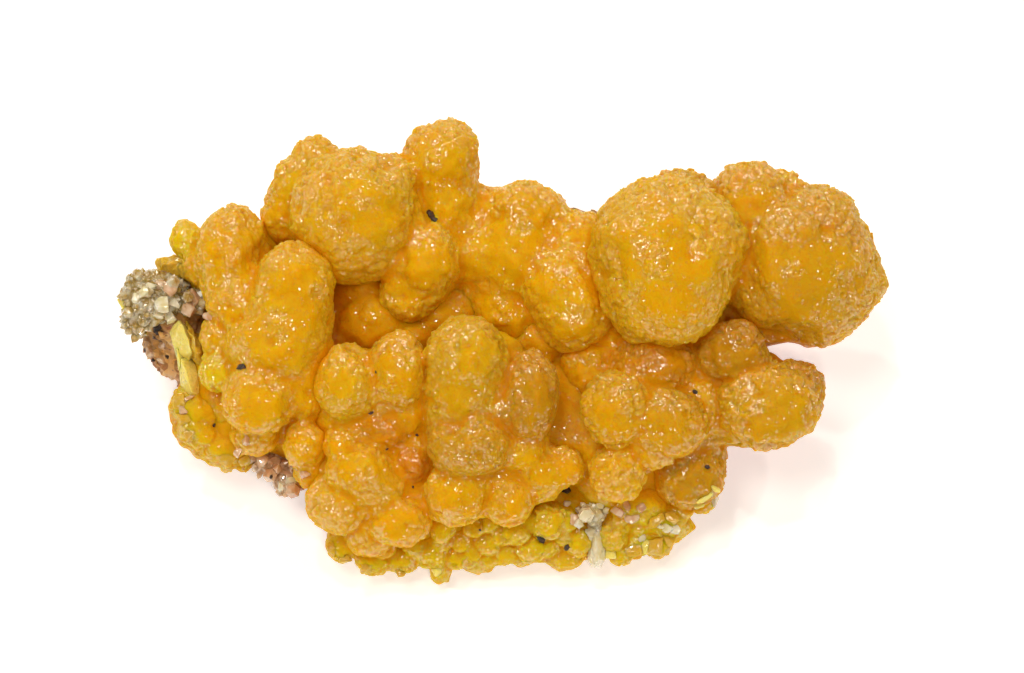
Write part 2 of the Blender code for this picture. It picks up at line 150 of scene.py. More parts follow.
MIDDLE_RIDGE = [
    (-7.6, -1.1, 5.0, 1.5, 1.85, 0.25, 0.15),
    (-5.0, -0.5, 5.0, 1.45, 1.9, 0.1, 0.2),
    (-4.6, -2.4, 3.6, 1.3, 1.6, -0.2, 0.1),
    (-7.9, -2.6, 3.4, 1.3, 1.4),
    (-1.6, 0.15, 5.4, 2.0, 2.0, 0.3, 0.3),
    (-1.7, -1.55, 5.0, 1.95, 1.9, 0.2, 0.35),
    (1.45, -1.8, 5.2, 1.4, 2.2, 0.1, 0.75),
    (-1.5, -4.25, 5.2, 2.0, 1.5, 0.2, 0.6),
    (1.0, -4.2, 4.2, 1.3, 1.4),
    (3.25, -5.25, 4.0, 0.85, 0.9),
    (2.0, -5.5, 3.6, 1.35, 1.4),
    (-5.75, -3.45, 4.0, 1.35, 1.1, -0.4, 0.2),
    (-4.45, -5.1, 3.8, 0.95, 1.0, -0.55, 0.0),
    (-7.75, -4.15, 4.3, 0.95, 0.85),
    (-6.9, -5.4, 4.3, 1.6, 1.35),
    (-6.1, -6.1, 3.9, 1.4, 1.3),
    (-8.0, -7.0, 3.4, 1.5, 1.6),
    (-5.0, -7.85, 3.6, 1.65, 1.3),
    (-3.9, -7.2, 3.2, 0.75, 0.8),
    (-8.9, -4.9, 2.6, 1.0, 1.4),
    (-6.4, -8.3, 2.4, 1.4, 1.4),
    (-2.15, -6.6, 4.2, 1.55, 1.6),
    (0.45, -6.95, 4.0, 1.15, 1.25),
    (-6.3, -2.3, 3.2, 1.1, 1.1),
    (-4.0, -4.1, 3.4, 0.8, 0.9),
    (-4.3, -6.3, 3.0, 0.8, 0.9),
    (-0.4, -5.6, 3.6, 0.9, 0.9),
]
LOWER_RIM = [
    (-2.85, -8.3, 2.6, 0.6, 0.7),
    (2.35, -8.0, 2.6, 0.9, 0.85),
    (0.8, -8.5, 2.4, 0.7, 0.65),
    (1.6, -9.3, 1.8, 0.85, 0.65),
    (0.3, -9.6, 1.4, 0.7, 0.6),
    (-0.5, -9.1, 1.8, 0.6, 0.55),
    (-1.95, -8.95, 1.9, 0.5, 0.5),
    (-2.2, -9.8, 1.3, 0.6, 0.6),
    (-2.95, -10.5, 0.9, 0.5, 0.6),
    (-3.4, -9.4, 1.4, 1.0, 1.0),
    (-1.1, -10.0, 0.8, 0.9, 0.6),
    (-7.75, -9.1, 1.4, 0.9, 0.9),
    (-6.25, -9.9, 1.2, 0.9, 0.75),
    (-4.9, -9.9, 1.2, 0.9, 0.7),
    (8.0, -8.0, 1.6, 1.15, 0.75),
    (7.85, -9.2, 1.2, 0.65, 0.65),
    (5.6, -8.8, 1.9, 0.65, 0.65),
    (6.0, -9.6, 1.4, 0.6, 0.6),
    (6.8, -9.1, 1.4, 0.6, 0.7),
    (3.2, -9.9, 0.9, 0.9, 0.6),
    (3.9, -9.0, 1.8, 0.7, 0.7),
    (6.9, -7.2, 2.0, 1.3, 1.0),
    (10.0, -7.0, 1.6, 0.7, 0.6),
    (-15.1, -3.3, 1.6, 0.9, 0.9, 0.7, 0.2),
    (-13.75, -4.2, 1.4, 1.1, 0.85, 0.6, 0.2),
    (-15.6, -2.2, 1.8, 0.8, 0.9, 0.7, 0.2),
    (-12.8, -5.0, 0.8, 0.5, 0.5, 0.1, 0.6),
]
HOLLOW = [
    (3.65, -1.5, 1.6, 1.5, 1.6),
    (2.9, -3.5, 1.8, 1.3, 1.3),
    (2.0, 1.0, 2.0, 1.1, 1.1),
    (3.6, -4.1, 3.0, 0.5, 0.5),
    (4.6, -4.4, 2.8, 0.9, 1.1),
    (-6.75, 3.4, 1.8, 1.4, 1.4),
    (-6.1, 1.9, 2.2, 1.8, 1.5),
    (-3.0, 2.25, 1.6, 1.8, 1.6),
    (-4.3, 1.2, 2.8, 0.9, 0.7),
]
# Swells of the sheet that the knobs grow from: across, up, out and the three half sizes.
BED = [
    (-10.6, -0.6, 1.5, 4.6, 4.4, 1.9),
    (-2.5, -2.9, 2.0, 7.0, 4.2, 1.9),
    (6.4, -2.8, 1.7, 4.6, 4.8, 1.9),
    (-5.0, 4.0, 0.6, 8.0, 3.6, 1.7),
    (3.8, 3.2, 0.6, 5.4, 3.6, 1.7),
    (-4.2, -7.0, 1.0, 4.9, 2.6, 1.7),
    (3.5, -7.2, 0.4, 6.2, 2.4, 1.4),
    (0.8, -8.5, 0.4, 8.2, 1.6, 1.0),
    (-14.2, -2.4, 0.6, 2.4, 2.2, 1.2),
]
# What has grown up between the knobs of each group, in the same terms as the bed.
RIGHT_FILL = [(8.0, -2.2, 3.1, 3.8, 2.6, 1.5), (12.2, -1.2, 2.4, 2.4, 1.8, 1.4)]
BACK_FILL = [
    (1.2, 4.6, 1.7, 3.8, 3.0, 1.5),
    (-5.6, 6.4, 1.4, 4.2, 2.4, 1.4),
    (-8.8, 9.0, 3.3, 1.3, 1.3, 1.5),
    (-5.3, 8.9, 3.5, 1.3, 1.2, 1.5),
    (-7.0, 5.3, 3.6, 2.0, 1.4, 1.8),
    (-4.9, 6.6, 3.2, 1.2, 1.6, 1.6),
]
LEFT_FILL = [(-11.8, 0.9, 2.6, 2.4, 3.6, 1.6), (-12.6, 4.6, 1.9, 2.0, 2.0, 1.5)]
RIDGE_FILL = [
    (-0.8, -2.4, 3.5, 3.0, 3.7, 1.8),
    (-1.6, -2.8, 4.5, 1.9, 1.9, 1.9),
    (0.3, -2.0, 4.4, 1.5, 2.0, 1.7),
    (0.4, -3.7, 3.9, 1.5, 1.5, 1.3),
    (-6.3, -1.3, 3.9, 1.7, 1.6, 1.8),
    (-0.9, -5.6, 3.6, 1.7, 1.4, 1.3),
    (-6.6, -6.1, 3.3, 1.8, 1.6, 1.5),
    (-6.3, -2.2, 3.2, 2.2, 2.6, 1.6),
    (-5.9, -5.8, 2.8, 2.9, 2.2, 1.3),
    (-0.6, -6.2, 2.9, 2.8, 1.6, 1.3),
]
RIM_FILL = [(0.6, -8.5, 0.9, 4.6, 1.4, 0.9), (6.6, -8.1, 0.9, 2.9, 1.3, 0.9), (-14.0, -3.2, 0.9, 2.0, 1.6, 0.9)]
# The rim's smallest knobs, that only the surface shows.
RIM_BEADS = [
    (-3.0, -9.0, 2.0, 0.55, 0.5),
    (-1.3, -8.3, 2.3, 0.5, 0.45),
    (-0.5, -8.1, 2.5, 0.42, 0.42),
    (0.1, -8.7, 2.2, 0.45, 0.45),
    (-1.4, -9.5, 1.5, 0.5, 0.5),
    (-0.5, -9.8, 1.3, 0.45, 0.4),
    (1.1, -9.8, 1.3, 0.5, 0.45),
    (2.3, -9.2, 1.7, 0.6, 0.5),
    (1.5, -8.0, 2.6, 0.42, 0.4),
    (3.1, -8.7, 2.1, 0.45, 0.45),
    (3.3, -8.0, 2.4, 0.5, 0.5),
    (6.0, -8.1, 2.0, 0.5, 0.5),
    (6.9, -8.3, 1.8, 0.5, 0.45),
    (7.3, -8.7, 1.5, 0.4, 0.4),
    (9.0, -7.5, 1.7, 0.5, 0.45),
    (8.9, -8.4, 1.3, 0.4, 0.35),
    (-5.8, -9.3, 2.0, 0.6, 0.5),
    (-7.0, -8.7, 2.3, 0.6, 0.55),
    (-4.2, -9.2, 2.0, 0.6, 0.5),
    (-14.6, -2.6, 2.0, 0.55, 0.6),
    (-13.4, -3.2, 2.0, 0.6, 0.55),
    (-14.4, -4.3, 1.3, 0.5, 0.45),
    (-13.2, -4.8, 1.1, 0.45, 0.4),
    (-15.75, -2.1, 1.7, 0.4, 0.45, 0.3, 0.5),
    (-15.95, -2.7, 1.4, 0.36, 0.42, 0.4, 0.5),
    (-15.8, -3.4, 1.3, 0.42, 0.4, 0.4, 0.4),
    (-15.45, -4.0, 1.1, 0.42, 0.36, 0.5, 0.3),
    (-14.85, -4.45, 1.0, 0.4, 0.42, 0.5, 0.3),
    (-14.2, -4.9, 0.9, 0.42, 0.36, 0.6, 0.2),
    (-13.6, -5.15, 0.8, 0.36, 0.42, 0.7, 0.1),
    (-12.85, -5.1, 0.8, 0.4, 0.4, 0.6, 0.2),
    (-15.1, -2.5, 2.3, 0.42, 0.5, 0.6, 0.2),
    (-15.3, -3.2, 2.1, 0.4, 0.42, 0.5, 0.3),
    (-14.7, -3.7, 2.1, 0.5, 0.42, 0.7, 0.1),
    (-14.9, -4.1, 1.7, 0.36, 0.36, 0.6, 0.2),
    (-14.0, -4.2, 1.9, 0.42, 0.4, 0.6, 0.1),
    (-13.5, -4.6, 1.6, 0.4, 0.36, 0.6, 0.2),
    (-13.0, -4.3, 1.8, 0.42, 0.42, 0.4, 0.4),
]
# Slabs of the rock, in the same terms as the bed, and lumps of its foot, level with the world.
ROCK_FACE = [
    (-14.0, 1.3, -1.2, 4.2, 3.2, 2.0),
    (-8.5, -0.8, -1.6, 6.4, 5.6, 2.4),
    (-2.0, -3.2, -1.6, 7.8, 7.1, 2.4),
    (4.0, -3.4, -1.6, 6.1, 6.4, 2.3),
    (-3.0, 4.0, -1.7, 11.0, 4.4, 2.5),
    (-16.4, 2.7, 0.0, 1.8, 2.0, 1.6),
]
ROCK_FOOT = [
    (-13.0, 2.0, 1.6, 4.2, 3.8, 2.8),
    (-6.5, 1.6, 1.6, 8.0, 6.0, 3.0),
    (0.0, -2.6, 0.4, 9.0, 6.4, 2.2),
    (-3.0, 4.6, 2.4, 10.5, 3.6, 3.6),
]
# Lumps in the same terms as the bed, and crystals: where each starts and ends, and its half width.
QUARTZ_LEFT_LUMPS = [
    (-17.55, 3.1, 1.5, 1.35, 1.5, 1.2),
    (-16.6, 3.2, 1.6, 1.1, 1.1, 1.0),
    (-15.2, 2.9, 1.5, 1.1, 0.7, 0.8),
    (-18.0, 2.0, 1.1, 0.8, 0.9, 0.9),
]
QUARTZ_LEFT_CRYSTALS = [
    (-16.4, 3.2, 1.4, -16.1, 4.0, 3.5, 0.48),
    (-16.5, 2.6, 1.4, -16.9, 2.7, 3.4, 0.42),
    (-17.6, 3.6, 1.5, -18.1, 4.5, 2.7, 0.4),
    (-17.8, 2.6, 1.5, -18.7, 2.3, 2.5, 0.42),
    (-17.3, 3.2, 1.6, -17.5, 3.5, 3.2, 0.45),
    (-15.6, 2.9, 1.4, -15.4, 3.2, 3.1, 0.4),
    (-14.9, 2.9, 1.4, -14.6, 2.8, 3.0, 0.4),
]
SEAM_LUMPS = [
    (-11.5, -5.3, 0.9, 0.9, 0.7, 0.9),
    (-10.6, -6.1, 0.9, 0.8, 0.8, 0.9),
]
SEAM_CRYSTALS = [
    (-11.2, -5.5, 0.8, -11.5, -5.8, 2.4, 0.4),
    (-10.5, -6.2, 0.8, -10.2, -6.6, 2.5, 0.42),
]
RIM_MIDDLE_LUMPS = [
    (4.6, -7.6, 2.0, 0.75, 0.65, 0.9),
    (4.7, -8.6, 1.5, 0.5, 0.9, 0.7),
]
RIM_MIDDLE_CRYSTALS = [
    (4.5, -7.5, 1.8, 4.2, -7.7, 3.6, 0.45),
    (4.9, -8.3, 1.6, 4.7, -10.2, 2.1, 0.42),
]
RIM_RIGHT_LUMPS = [
    (10.2, -6.1, 1.2, 0.6, 0.6, 0.8),
]
RIM_RIGHT_CRYSTALS = [
    (10.2, -6.0, 1.3, 11.0, -6.0, 2.3, 0.4),
    (10.2, -6.3, 1.2, 10.7, -7.3, 2.0, 0.4),
]

# Random numbers on a lattice that repeats, which every grain and cloud is drawn from.
LATTICE_SIDE = 64
WRAP = LATTICE_SIDE - 1
STEPS = (5, 11, 17)
LATTICE = np.random.default_rng(11).random((LATTICE_SIDE, LATTICE_SIDE, LATTICE_SIDE, 4)).astype(np.float32)
SWELLS = np.ascontiguousarray(LATTICE[..., 3] * 2 - 1)


def chances(cells, shift):
    """Four random numbers from 0 to 1 for each cell of a lattice."""
    home = (cells.astype(np.int32) + shift * np.array(STEPS, np.int32)) & WRAP
    return LATTICE[home[:, 0], home[:, 1], home[:, 2]]


def clouds(points, size, shift):
    """Smooth noise from -1 to 1, with one swell about every size millimetres."""
    total = np.zeros(len(points), np.float32)
    sides = []
    for axis, step in enumerate(STEPS):
        scaled = (points[:, axis] / size).astype(np.float32)
        home = np.floor(scaled)
        part = scaled - home
        part = part * part * (3 - 2 * part)
        first = (home.astype(np.int32) + shift * step) & WRAP
        sides.append(((first, 1 - part), ((first + 1) & WRAP, part)))
    for x, x_share in sides[0]:
        for y, y_share in sides[1]:
            for z, z_share in sides[2]:
                total += SWELLS[x, y, z] * (x_share * y_share * z_share)
    return total


def grains(points, size, shift):
    """The grain that each point is in: the way from its middle, its random numbers, how far its middle is and how
    much further the next grain's is."""
    scaled = (points / size).astype(np.float32)
    home = np.floor(scaled)
    nearest = np.full(len(points), FAR, np.float32)
    second = np.full(len(points), FAR, np.float32)
    way = np.zeros_like(scaled)
    chance = np.zeros((len(points), 4), np.float32)
    for step in np.ndindex(3, 3, 3):
        cell = home + np.array(step, np.float32) - 1
        numbers = chances(cell, shift)
        offset = scaled - cell - numbers[:, :3]
        distance = np.sqrt((offset ** 2).sum(axis=1))
        nearer = distance < nearest
        second = np.where(nearer, nearest, np.minimum(second, distance))
        nearest = np.where(nearer, distance, nearest)
        way[nearer] = offset[nearer]
        chance[nearer] = chances(cell[nearer], shift + 3)
    return way * size, chance, nearest, second - nearest


def slant_of(way, chance):
    """How high a place stands in its grain, in millimetres, where each grain leans its own way."""
    return (way * (chance - 0.5)).sum(axis=1)


def ramp(value, low, high):
    """From 0 at the low value to 1 at the high one, eased at both ends."""
    share = np.clip((value - low) / (high - low), 0, 1)
    return share * share * (3 - 2 * share)


def place(across, up, out):
    """A place on the face, in millimetres in the world."""
    return Vector((0, 0, DATUM_HEIGHT)) + SIDE * across + UP_FACE * up + OUT * out


def lump_sizes(row):
    """The middle and the half sizes of a lump."""
    return np.array(row[:3]), np.array(row[3:6])


def knob_sizes(knob):
    return np.array((knob[3], knob[4], (knob[3] + knob[4]) / 2))


def knob_shift(knob):
    """A number from a knob's place, so that its neighbours are uneven in other ways."""
    return int(abs(knob[0] * 31 + knob[1] * 17)) % 60


def stalk_foot(knob):
    across, up = knob[:2]
    foot_up = up - STALK_LEAN * (up + STALK_SET_BACK)
    foot = (min(max(across, FOOT_ACROSS[0]), FOOT_ACROSS[1]), min(max(foot_up, FOOT_UP[0]), FOOT_UP[1]), FOOT_OUT)
    return np.array(foot)


def melted(first, second, blend):
    """The union of two distance fields, with a fillet where they meet."""
    near = np.maximum(blend - np.abs(first - second), 0) / blend
    return np.minimum(first, second) - near * near * blend / 4


def ball_distance(points, middle, half_sizes, shift):
    """How far points are from an uneven ellipsoid: negative inside."""
    local = ((points - middle) / half_sizes).astype(np.float32)
    reach = np.sqrt((local ** 2).sum(axis=1)) + 1e-6
    near = np.abs(reach - 1) < 0.35
    direction = local[near] / reach[near][:, None] + 9
    scale = 1 + SWELLING * clouds(direction, 1 / SWELLINGS_ROUND, shift)
    scale += LUMP * clouds(direction, 1 / LUMPS_ROUND, shift + 1)
    reach[near] /= scale
    slope = np.sqrt(((local / half_sizes) ** 2).sum(axis=1)) / (np.sqrt((local ** 2).sum(axis=1)) + 1e-6) + 1e-6
    return (reach - 1) / slope


def stalk_distance(points, middle, foot, half_sizes):
    """How far points are from a stalk: negative inside."""
    along = foot - middle
    share = np.clip((points - middle) @ along / (along @ along), 0, 1)
    aside = points - middle - share[:, None] * along
    thick = half_sizes * STALK_WIDTH
    reach = np.sqrt(((aside / thick) ** 2).sum(axis=1))
    return (reach - 1) * thick.min()


def grow(knobs, swells, voxel, blend, swell_blend=BED_BLEND):
    """The distance field of knobs that have grown together, on a grid in the face's own frame."""
    forms = []
    for knob in knobs:
        middle, foot, half_sizes = np.array(knob[:3]), stalk_foot(knob), knob_sizes(knob)
        reach = half_sizes * (1 + SWELLING + LUMP)
        wide = half_sizes * STALK_WIDTH
        forms.append((middle - reach, middle + reach, ball_distance, (middle, half_sizes, knob_shift(knob)), blend))
        low = np.minimum(middle, foot) - (wide[0], wide[1], 0)
        high = np.maximum(middle, foot) + (wide[0], wide[1], 0)
        forms.append((low, high, stalk_distance, (middle, foot, half_sizes), STALK_BLEND))
    for number, swell in enumerate(swells):
        middle, half_sizes = lump_sizes(swell)
        reach = half_sizes * (1 + SWELLING + LUMP)
        forms.append((middle - reach, middle + reach, ball_distance, (middle, half_sizes, number), swell_blend))
    low = np.min([form[0] for form in forms], axis=0) - MARGIN
    counts = np.ceil((np.max([form[1] for form in forms], axis=0) + MARGIN - low) / voxel).astype(int)
    field = np.full(counts, 1.0, np.float32)
    for start, end, distance_to, facts, spread in forms:
        first = np.maximum(((start - WINDOW - low) / voxel).astype(int), 0)
        last = np.minimum(((end + WINDOW - low) / voxel).astype(int) + 1, counts)
        window = tuple(slice(a, b) for a, b in zip(first, last))
        ticks = [(low[axis] + voxel * np.arange(first[axis], last[axis])).astype(np.float32) for axis in range(3)]
        points = np.stack(np.meshgrid(*ticks, indexing="ij"), axis=-1).reshape(-1, 3)
        distance = distance_to(points, *facts).reshape(tuple(last - first)).astype(np.float32)
        field[window] = melted(field[window], distance, spread)
    field[:, :, 0] = 1
    return field, low


def skin_of(field, low, voxel):
    """The closed surface where a distance field is zero: its points and its four-sided faces."""
    solid = field < 0
    shape = np.array(field.shape) - 1
    corners = list(np.ndindex(2, 2, 2))
    count = np.zeros(shape, np.uint8)
    for i, j, k in corners:
        count += solid[i:i + shape[0], j:j + shape[1], k:k + shape[2]]
    mixed = (count > 0) & (count < 8)
    cells = np.argwhere(mixed)
    number = np.full(shape, -1, np.int32)
    number[mixed] = np.arange(len(cells))
    values = {corner: field[tuple((cells + corner).T)] for corner in corners}
    total = np.zeros((len(cells), 3))
    hits = np.zeros(len(cells))
    for corner in corners:
        for axis in range(3):
            if corner[axis]:
                continue
            other = tuple(1 if side == axis else corner[side] for side in range(3))
            start, end = values[corner], values[other]
            crossed = (start < 0) != (end < 0)
            where = np.tile(np.array(corner, float), (crossed.sum(), 1))
            where[:, axis] = start[crossed] / (start[crossed] - end[crossed])
            total[crossed] += where
            hits[crossed] += 1
    points = low + (cells + total / hits[:, None]) * voxel
    faces = []
    for axis in range(3):
        b, c = (axis + 1) % 3, (axis + 2) % 3
        start = [slice(1, -1)] * 3
        start[axis] = slice(0, -1)
        end = list(start)
        end[axis] = slice(1, None)
        before, after = solid[tuple(start)], solid[tuple(end)]
        at = np.argwhere(before != after)
        at[:, b] += 1
        at[:, c] += 1
        outward = before[before != after]
        around = []
        for step_b, step_c in ((-1, -1), (0, -1), (0, 0), (-1, 0)):
            cell = at.copy()
            cell[:, b] += step_b
            cell[:, c] += step_c
            around.append(number[tuple(cell.T)])
        face = np.stack(around, axis=1)
        face[~outward] = face[~outward][:, ::-1]
        faces.append(face)
    return points, np.concatenate(faces)


def mesh_from(points, faces):
    """A mesh of four-sided faces, shaded smooth."""
    skin = bpy.data.meshes.new("skin")
    skin.vertices.add(len(points))
    skin.vertices.foreach_set("co", points.astype(np.float32).ravel())
    skin.loops.add(faces.size)
    skin.loops.foreach_set("vertex_index", faces.astype(np.int32).ravel())
    skin.polygons.add(len(faces))
    skin.polygons.foreach_set("loop_start", np.arange(0, faces.size, faces.shape[1], dtype=np.int32))
    skin.polygons.foreach_set("use_smooth", np.ones(len(faces), bool))
    skin.update()
    skin.validate()
    return skin


def move_points(skin, places):
    """Puts a mesh's points at places in metres."""
    skin.vertices.foreach_set("co", places.astype(np.float32).ravel())
    skin.update()


def normals_of(skin):
    normals = np.empty(len(skin.vertices) * 3, np.float32)
    skin.vertex_normals.foreach_get("vector", normals)
    return normals.reshape(-1, 3).astype(np.float64)


def to_world(points):
    """From the face's own frame, in millimetres, to the world, in metres."""
    return (points @ FACE_AXES + (0, 0, DATUM_HEIGHT)) * MM


def hollowness(points, faces, normals, rounds=14):
    """How far each point lies behind its surroundings, in millimetres: above nothing in a crease."""
    ends = np.concatenate([faces[:, [side, (side + 1) % 4]] for side in range(4)])
    start, end = np.concatenate((ends, ends[:, ::-1])).T
    count = np.bincount(start, minlength=len(points))[:, None]
    even = points
    for _ in range(rounds):
        sums = [np.bincount(start, even[end, axis], minlength=len(points)) for axis in range(3)]
        even = np.stack(sums, axis=1) / count
    return ((even - points) * normals).sum(axis=1)


def add_piece(skin, name, material, replaced, shares=None):
    """A finished piece that rides on the part, with a number from 0 to 1 at each point for its material to read."""
    for key, values in (shares or {}).items():
        layer = skin.attributes.new(key, "FLOAT", "POINT")
        layer.data.foreach_set("value", np.clip(values, 0, 1).astype(np.float32))
    piece = bpy.data.objects.new(name, skin)
    bpy.context.scene.collection.objects.link(piece)
    skin.materials.append(material)
    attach(piece, "root")
    if replaced:
        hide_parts(*replaced)


def plain_distance(points, knob):
    """How far points are from an even knob and its stalk."""
    middle, half_sizes = np.array(knob[:3]), knob_sizes(knob)
    ball = (np.sqrt((((points - middle) / half_sizes) ** 2).sum(axis=1)) - 1) * half_sizes.min()
    return np.minimum(ball, stalk_distance(points, middle, stalk_foot(knob), half_sizes))


def clear_of(points, others, swells):
    """How far points are from other pieces' knobs and from the bed: negative inside them."""
    depth = np.full(len(points), FAR)
    for knob in others:
        near = (np.abs(points - knob[:3])[:, :2] < np.array(knob[3:5]) + 2.5).all(axis=1)
        if near.any():
            depth[near] = np.minimum(depth[near], plain_distance(points[near], knob))
    for swell in swells:
        middle, half_sizes = lump_sizes(swell)
        reach = np.sqrt((((points - middle) / half_sizes) ** 2).sum(axis=1))
        depth = np.minimum(depth, (reach - 1) * half_sizes.min())
    return depth


def knob_shares(points, knobs, usual):
    """For each point, from the knobs near it: how high it is (1 on the cap, 0 at the girth, less down the stalk), how
    far to the knob's upper side, how lime and how tan the knobs are, the tan being partly painted shade."""
    weight = np.full(len(points), 1e-9)
    sums = np.zeros((4, len(points)))
    for knob in knobs:
        middle, half_sizes = np.array(knob[:3]), knob_sizes(knob)
        near = (np.abs(points - middle)[:, :2] < half_sizes[:2] * 1.5 + 3).all(axis=1)
        close = points[near]
        pull = np.exp(-np.clip(plain_distance(close, knob), -0.5, 5) / KNOB_FADE)
        lime, tan_and_shade = knob[5:7] if len(knob) > 5 else usual
        weight[near] += pull
        local = (close - middle) / half_sizes
        for row, value in enumerate((local[:, 2], local[:, 1], lime, tan_and_shade)):
            sums[row, near] += pull * value
    return sums / weight


ALL_KNOBS = RIGHT_GIANTS + RIGHT_LOBES + BACK_ROW + LEFT_SHOULDER + MIDDLE_RIDGE + LOWER_RIM


def canopy(points):
    """The height, out of the face, of the knobs' caps round each point, and how crowded the knobs are there."""
    weight = np.full(len(points), 1e-9)
    total = np.zeros(len(points))
    for knob in ALL_KNOBS:
        apart = ((points[:, :2] - knob[:2]) ** 2).sum(axis=1)
        pull = np.exp(-apart / 6)
        weight += pull
        total += pull * (knob[2] + 0.5 * (knob[3] + knob[4]) / 2)
    return total / weight, weight


def crust_piece(name, knobs, voxel, shift, swells=(), blend=0.2, coarse=1.0, shine=1.0, tints=USUAL_TINTS,
                low_lime=0.0):
    """One piece of the crust, with its druse of tiny crystals raised on it: how coarse it stands out and how much of
    it there is are shares of the usual. Low on the face the sheet between the rim's knobs is lime."""
    points, faces = skin_of(*grow(knobs, swells, voxel, blend), voxel)
    clear = clear_of(points, [knob for knob in ALL_KNOBS if knob not in knobs], [] if swells == BED else BED)
    kept = faces[~(clear < -BURIED)[faces].all(axis=1)]
    used, kept = np.unique(kept, return_inverse=True)
    points, faces, clear = points[used], kept.reshape(-1, 4), clear[used]
    skin = mesh_from(points, faces)
    normals = normals_of(skin)
    height, upper, lime, tan_and_shade = knob_shares(points, knobs, tints)
    patches = clouds(points, 1.1, shift)
    outer = 1 - ramp(canopy(points + LOOK_ASIDE * normals * np.array([1, 1, 0]))[1], 0.06, 0.35)
    sunk = (canopy(points)[0] - points[:, 2]) * (1 - 0.6 * outer)
    open_share = np.maximum(1 - ramp(sunk, 0.4, 2.6), 0.8 * outer)
    cap = ramp(height, 0.55, 0.92)
    girth = ramp(height, -0.6, 0.0) * (1 - cap)
    crease = np.maximum(ramp(hollowness(points, faces, normals), 0.004, 0.05), 1 - ramp(clear, 0.0, 0.5))
    # The druse is thick round the girth, in patches on the cap, on the upper side and on the crust's outer sides.
    thick = 0.75 * girth + 0.75 * cap * ramp(patches, 0.0, 0.45)
    thick += 0.5 * ramp(upper, 0.0, 0.8) * ramp(height, -0.5, 0.1)
    thick = np.maximum(thick, outer * (0.35 + 0.4 * ramp(patches, -0.2, 0.5)))
    druse = np.clip(thick * (0.15 + 0.85 * open_share) * shine * (1 - 0.8 * crease), LEAST_DRUSE, 1)

    # Domes everywhere, that slant where the druse is thick, and then its own small crystals.
    way, chance, nearest, _ = grains(points, DOME_ACROSS, shift)
    domes = (0.5 - nearest) * (0.4 + 1.2 * chance[:, 0])
    slant = slant_of(way, chance[:, 1:4]) * druse
    raised = coarse * (DOME_RISE * domes * (0.45 + 0.55 * druse) + DOME_SLANT * slant)
    points = points + normals * raised[:, None]
    way, chance, _, gap = grains(points, CRYSTAL_ACROSS, shift + 20)
    slant = slant_of(way, chance[:, :3])
    raised = coarse * (CRYSTAL_SLANT * slant + CRYSTAL_RISE * ramp(gap, 0, 0.3) * chance[:, 3]) * druse ** 1.3
    points = points + normals * raised[:, None]
    move_points(skin, to_world(points))
    if low_lime:
        lime = np.maximum(lime, low_lime * ramp(-points[:, 1], 6.2, 7.6))
    # Painted shade: a deeper orange where a place is sunk below the caps round it and in creases, less on the crust's
    # outer sides. Knobs whose lime is below nought take the same deeper orange as their own tint.
    deep_tint_and_shade = np.maximum(np.maximum(ramp(sunk, 0.3, 4.0), 0.4 * crease), -lime)
    shares = {
        "druse": druse, "sunk": deep_tint_and_shade * (1 - 0.85 * outer), "lime": lime + 0.12 * patches, "tan_and_shade": tan_and_shade,
        # Painted glow: orange emission in the creases that are open.
        "painted_glow": crease * open_share,
        # The veil is partly the druse's own frost and partly a painted highlight on the knobs' upper sides.
        "frost_and_highlight": druse * np.maximum(0.2 * girth, 0.9 * ramp(upper, 0.1, 0.9)),
    }
    add_piece(skin, name, ORANGE, ("mimetite_crust",), shares)


def linear(code):
    """A colour from its sRGB hex code."""
    channels = [int(code[at:at + 2], 16) / 255 for at in (1, 3, 5)]
    return tuple(c / 12.92 if c <= 0.04045 else ((c + 0.055) / 1.055) ** 2.4 for c in channels) + (1,)


# Inputs that share a name are given by number: the values of a Math or Vector Math node (0 to 2), a Mix node's share
# (0) and colours (6, 7), and a Map Range node's value (0), the range that it comes from (1, 2) and the range that it
# goes to (3, 4).
def add_node(tree, kind, inputs=None, **settings):
    """Adds a node with its settings. Each input is a value, another node's output, or a node for its first output."""
    made = tree.nodes.new(kind)
    for name, value in settings.items():
        setattr(made, name, value)
    for key, value in (inputs or {}).items():
        if isinstance(value, bpy.types.Node):
            value = value.outputs[0]
        if isinstance(value, bpy.types.NodeSocket):
            tree.links.new(value, made.inputs[key])
        else:
            made.inputs[key].default_value = value
    return made


def new_material(name):
    """An empty material, its node tree and the place on the piece that its patterns start from."""
    material = bpy.data.materials.new(name)
    material.use_nodes = True
    tree = material.node_tree
    tree.nodes.clear()
    return material, tree, add_node(tree, "ShaderNodeTexCoord").outputs["Object"]


def finish_material(tree, inputs):
    add_node(tree, "ShaderNodeOutputMaterial", {"Surface": add_node(tree, "ShaderNodeBsdfPrincipled", inputs)})


def druse_faces(tree, here, across, tilt):
    """Flat faces of tiny crystals, across in millimetres: the way that each faces, and the pattern behind them."""
    facets = add_node(tree, "ShaderNodeTexVoronoi", {"Vector": here, "Scale": 1 / (across * MM)})
    centred = {0: facets.outputs["Color"], 1: (0.5, 0.5, 0.5)}
    centred = add_node(tree, "ShaderNodeVectorMath", centred, operation="SUBTRACT")
    turned = add_node(tree, "ShaderNodeVectorMath", {0: centred, "Scale": tilt}, operation="SCALE")
    normal = add_node(tree, "ShaderNodeNewGeometry").outputs["Normal"]
    faced = add_node(tree, "ShaderNodeVectorMath", {0: turned, 1: normal}, operation="ADD")
    faced = add_node(tree, "ShaderNodeVectorMath", {0: faced}, operation="NORMALIZE")
    return faced, facets


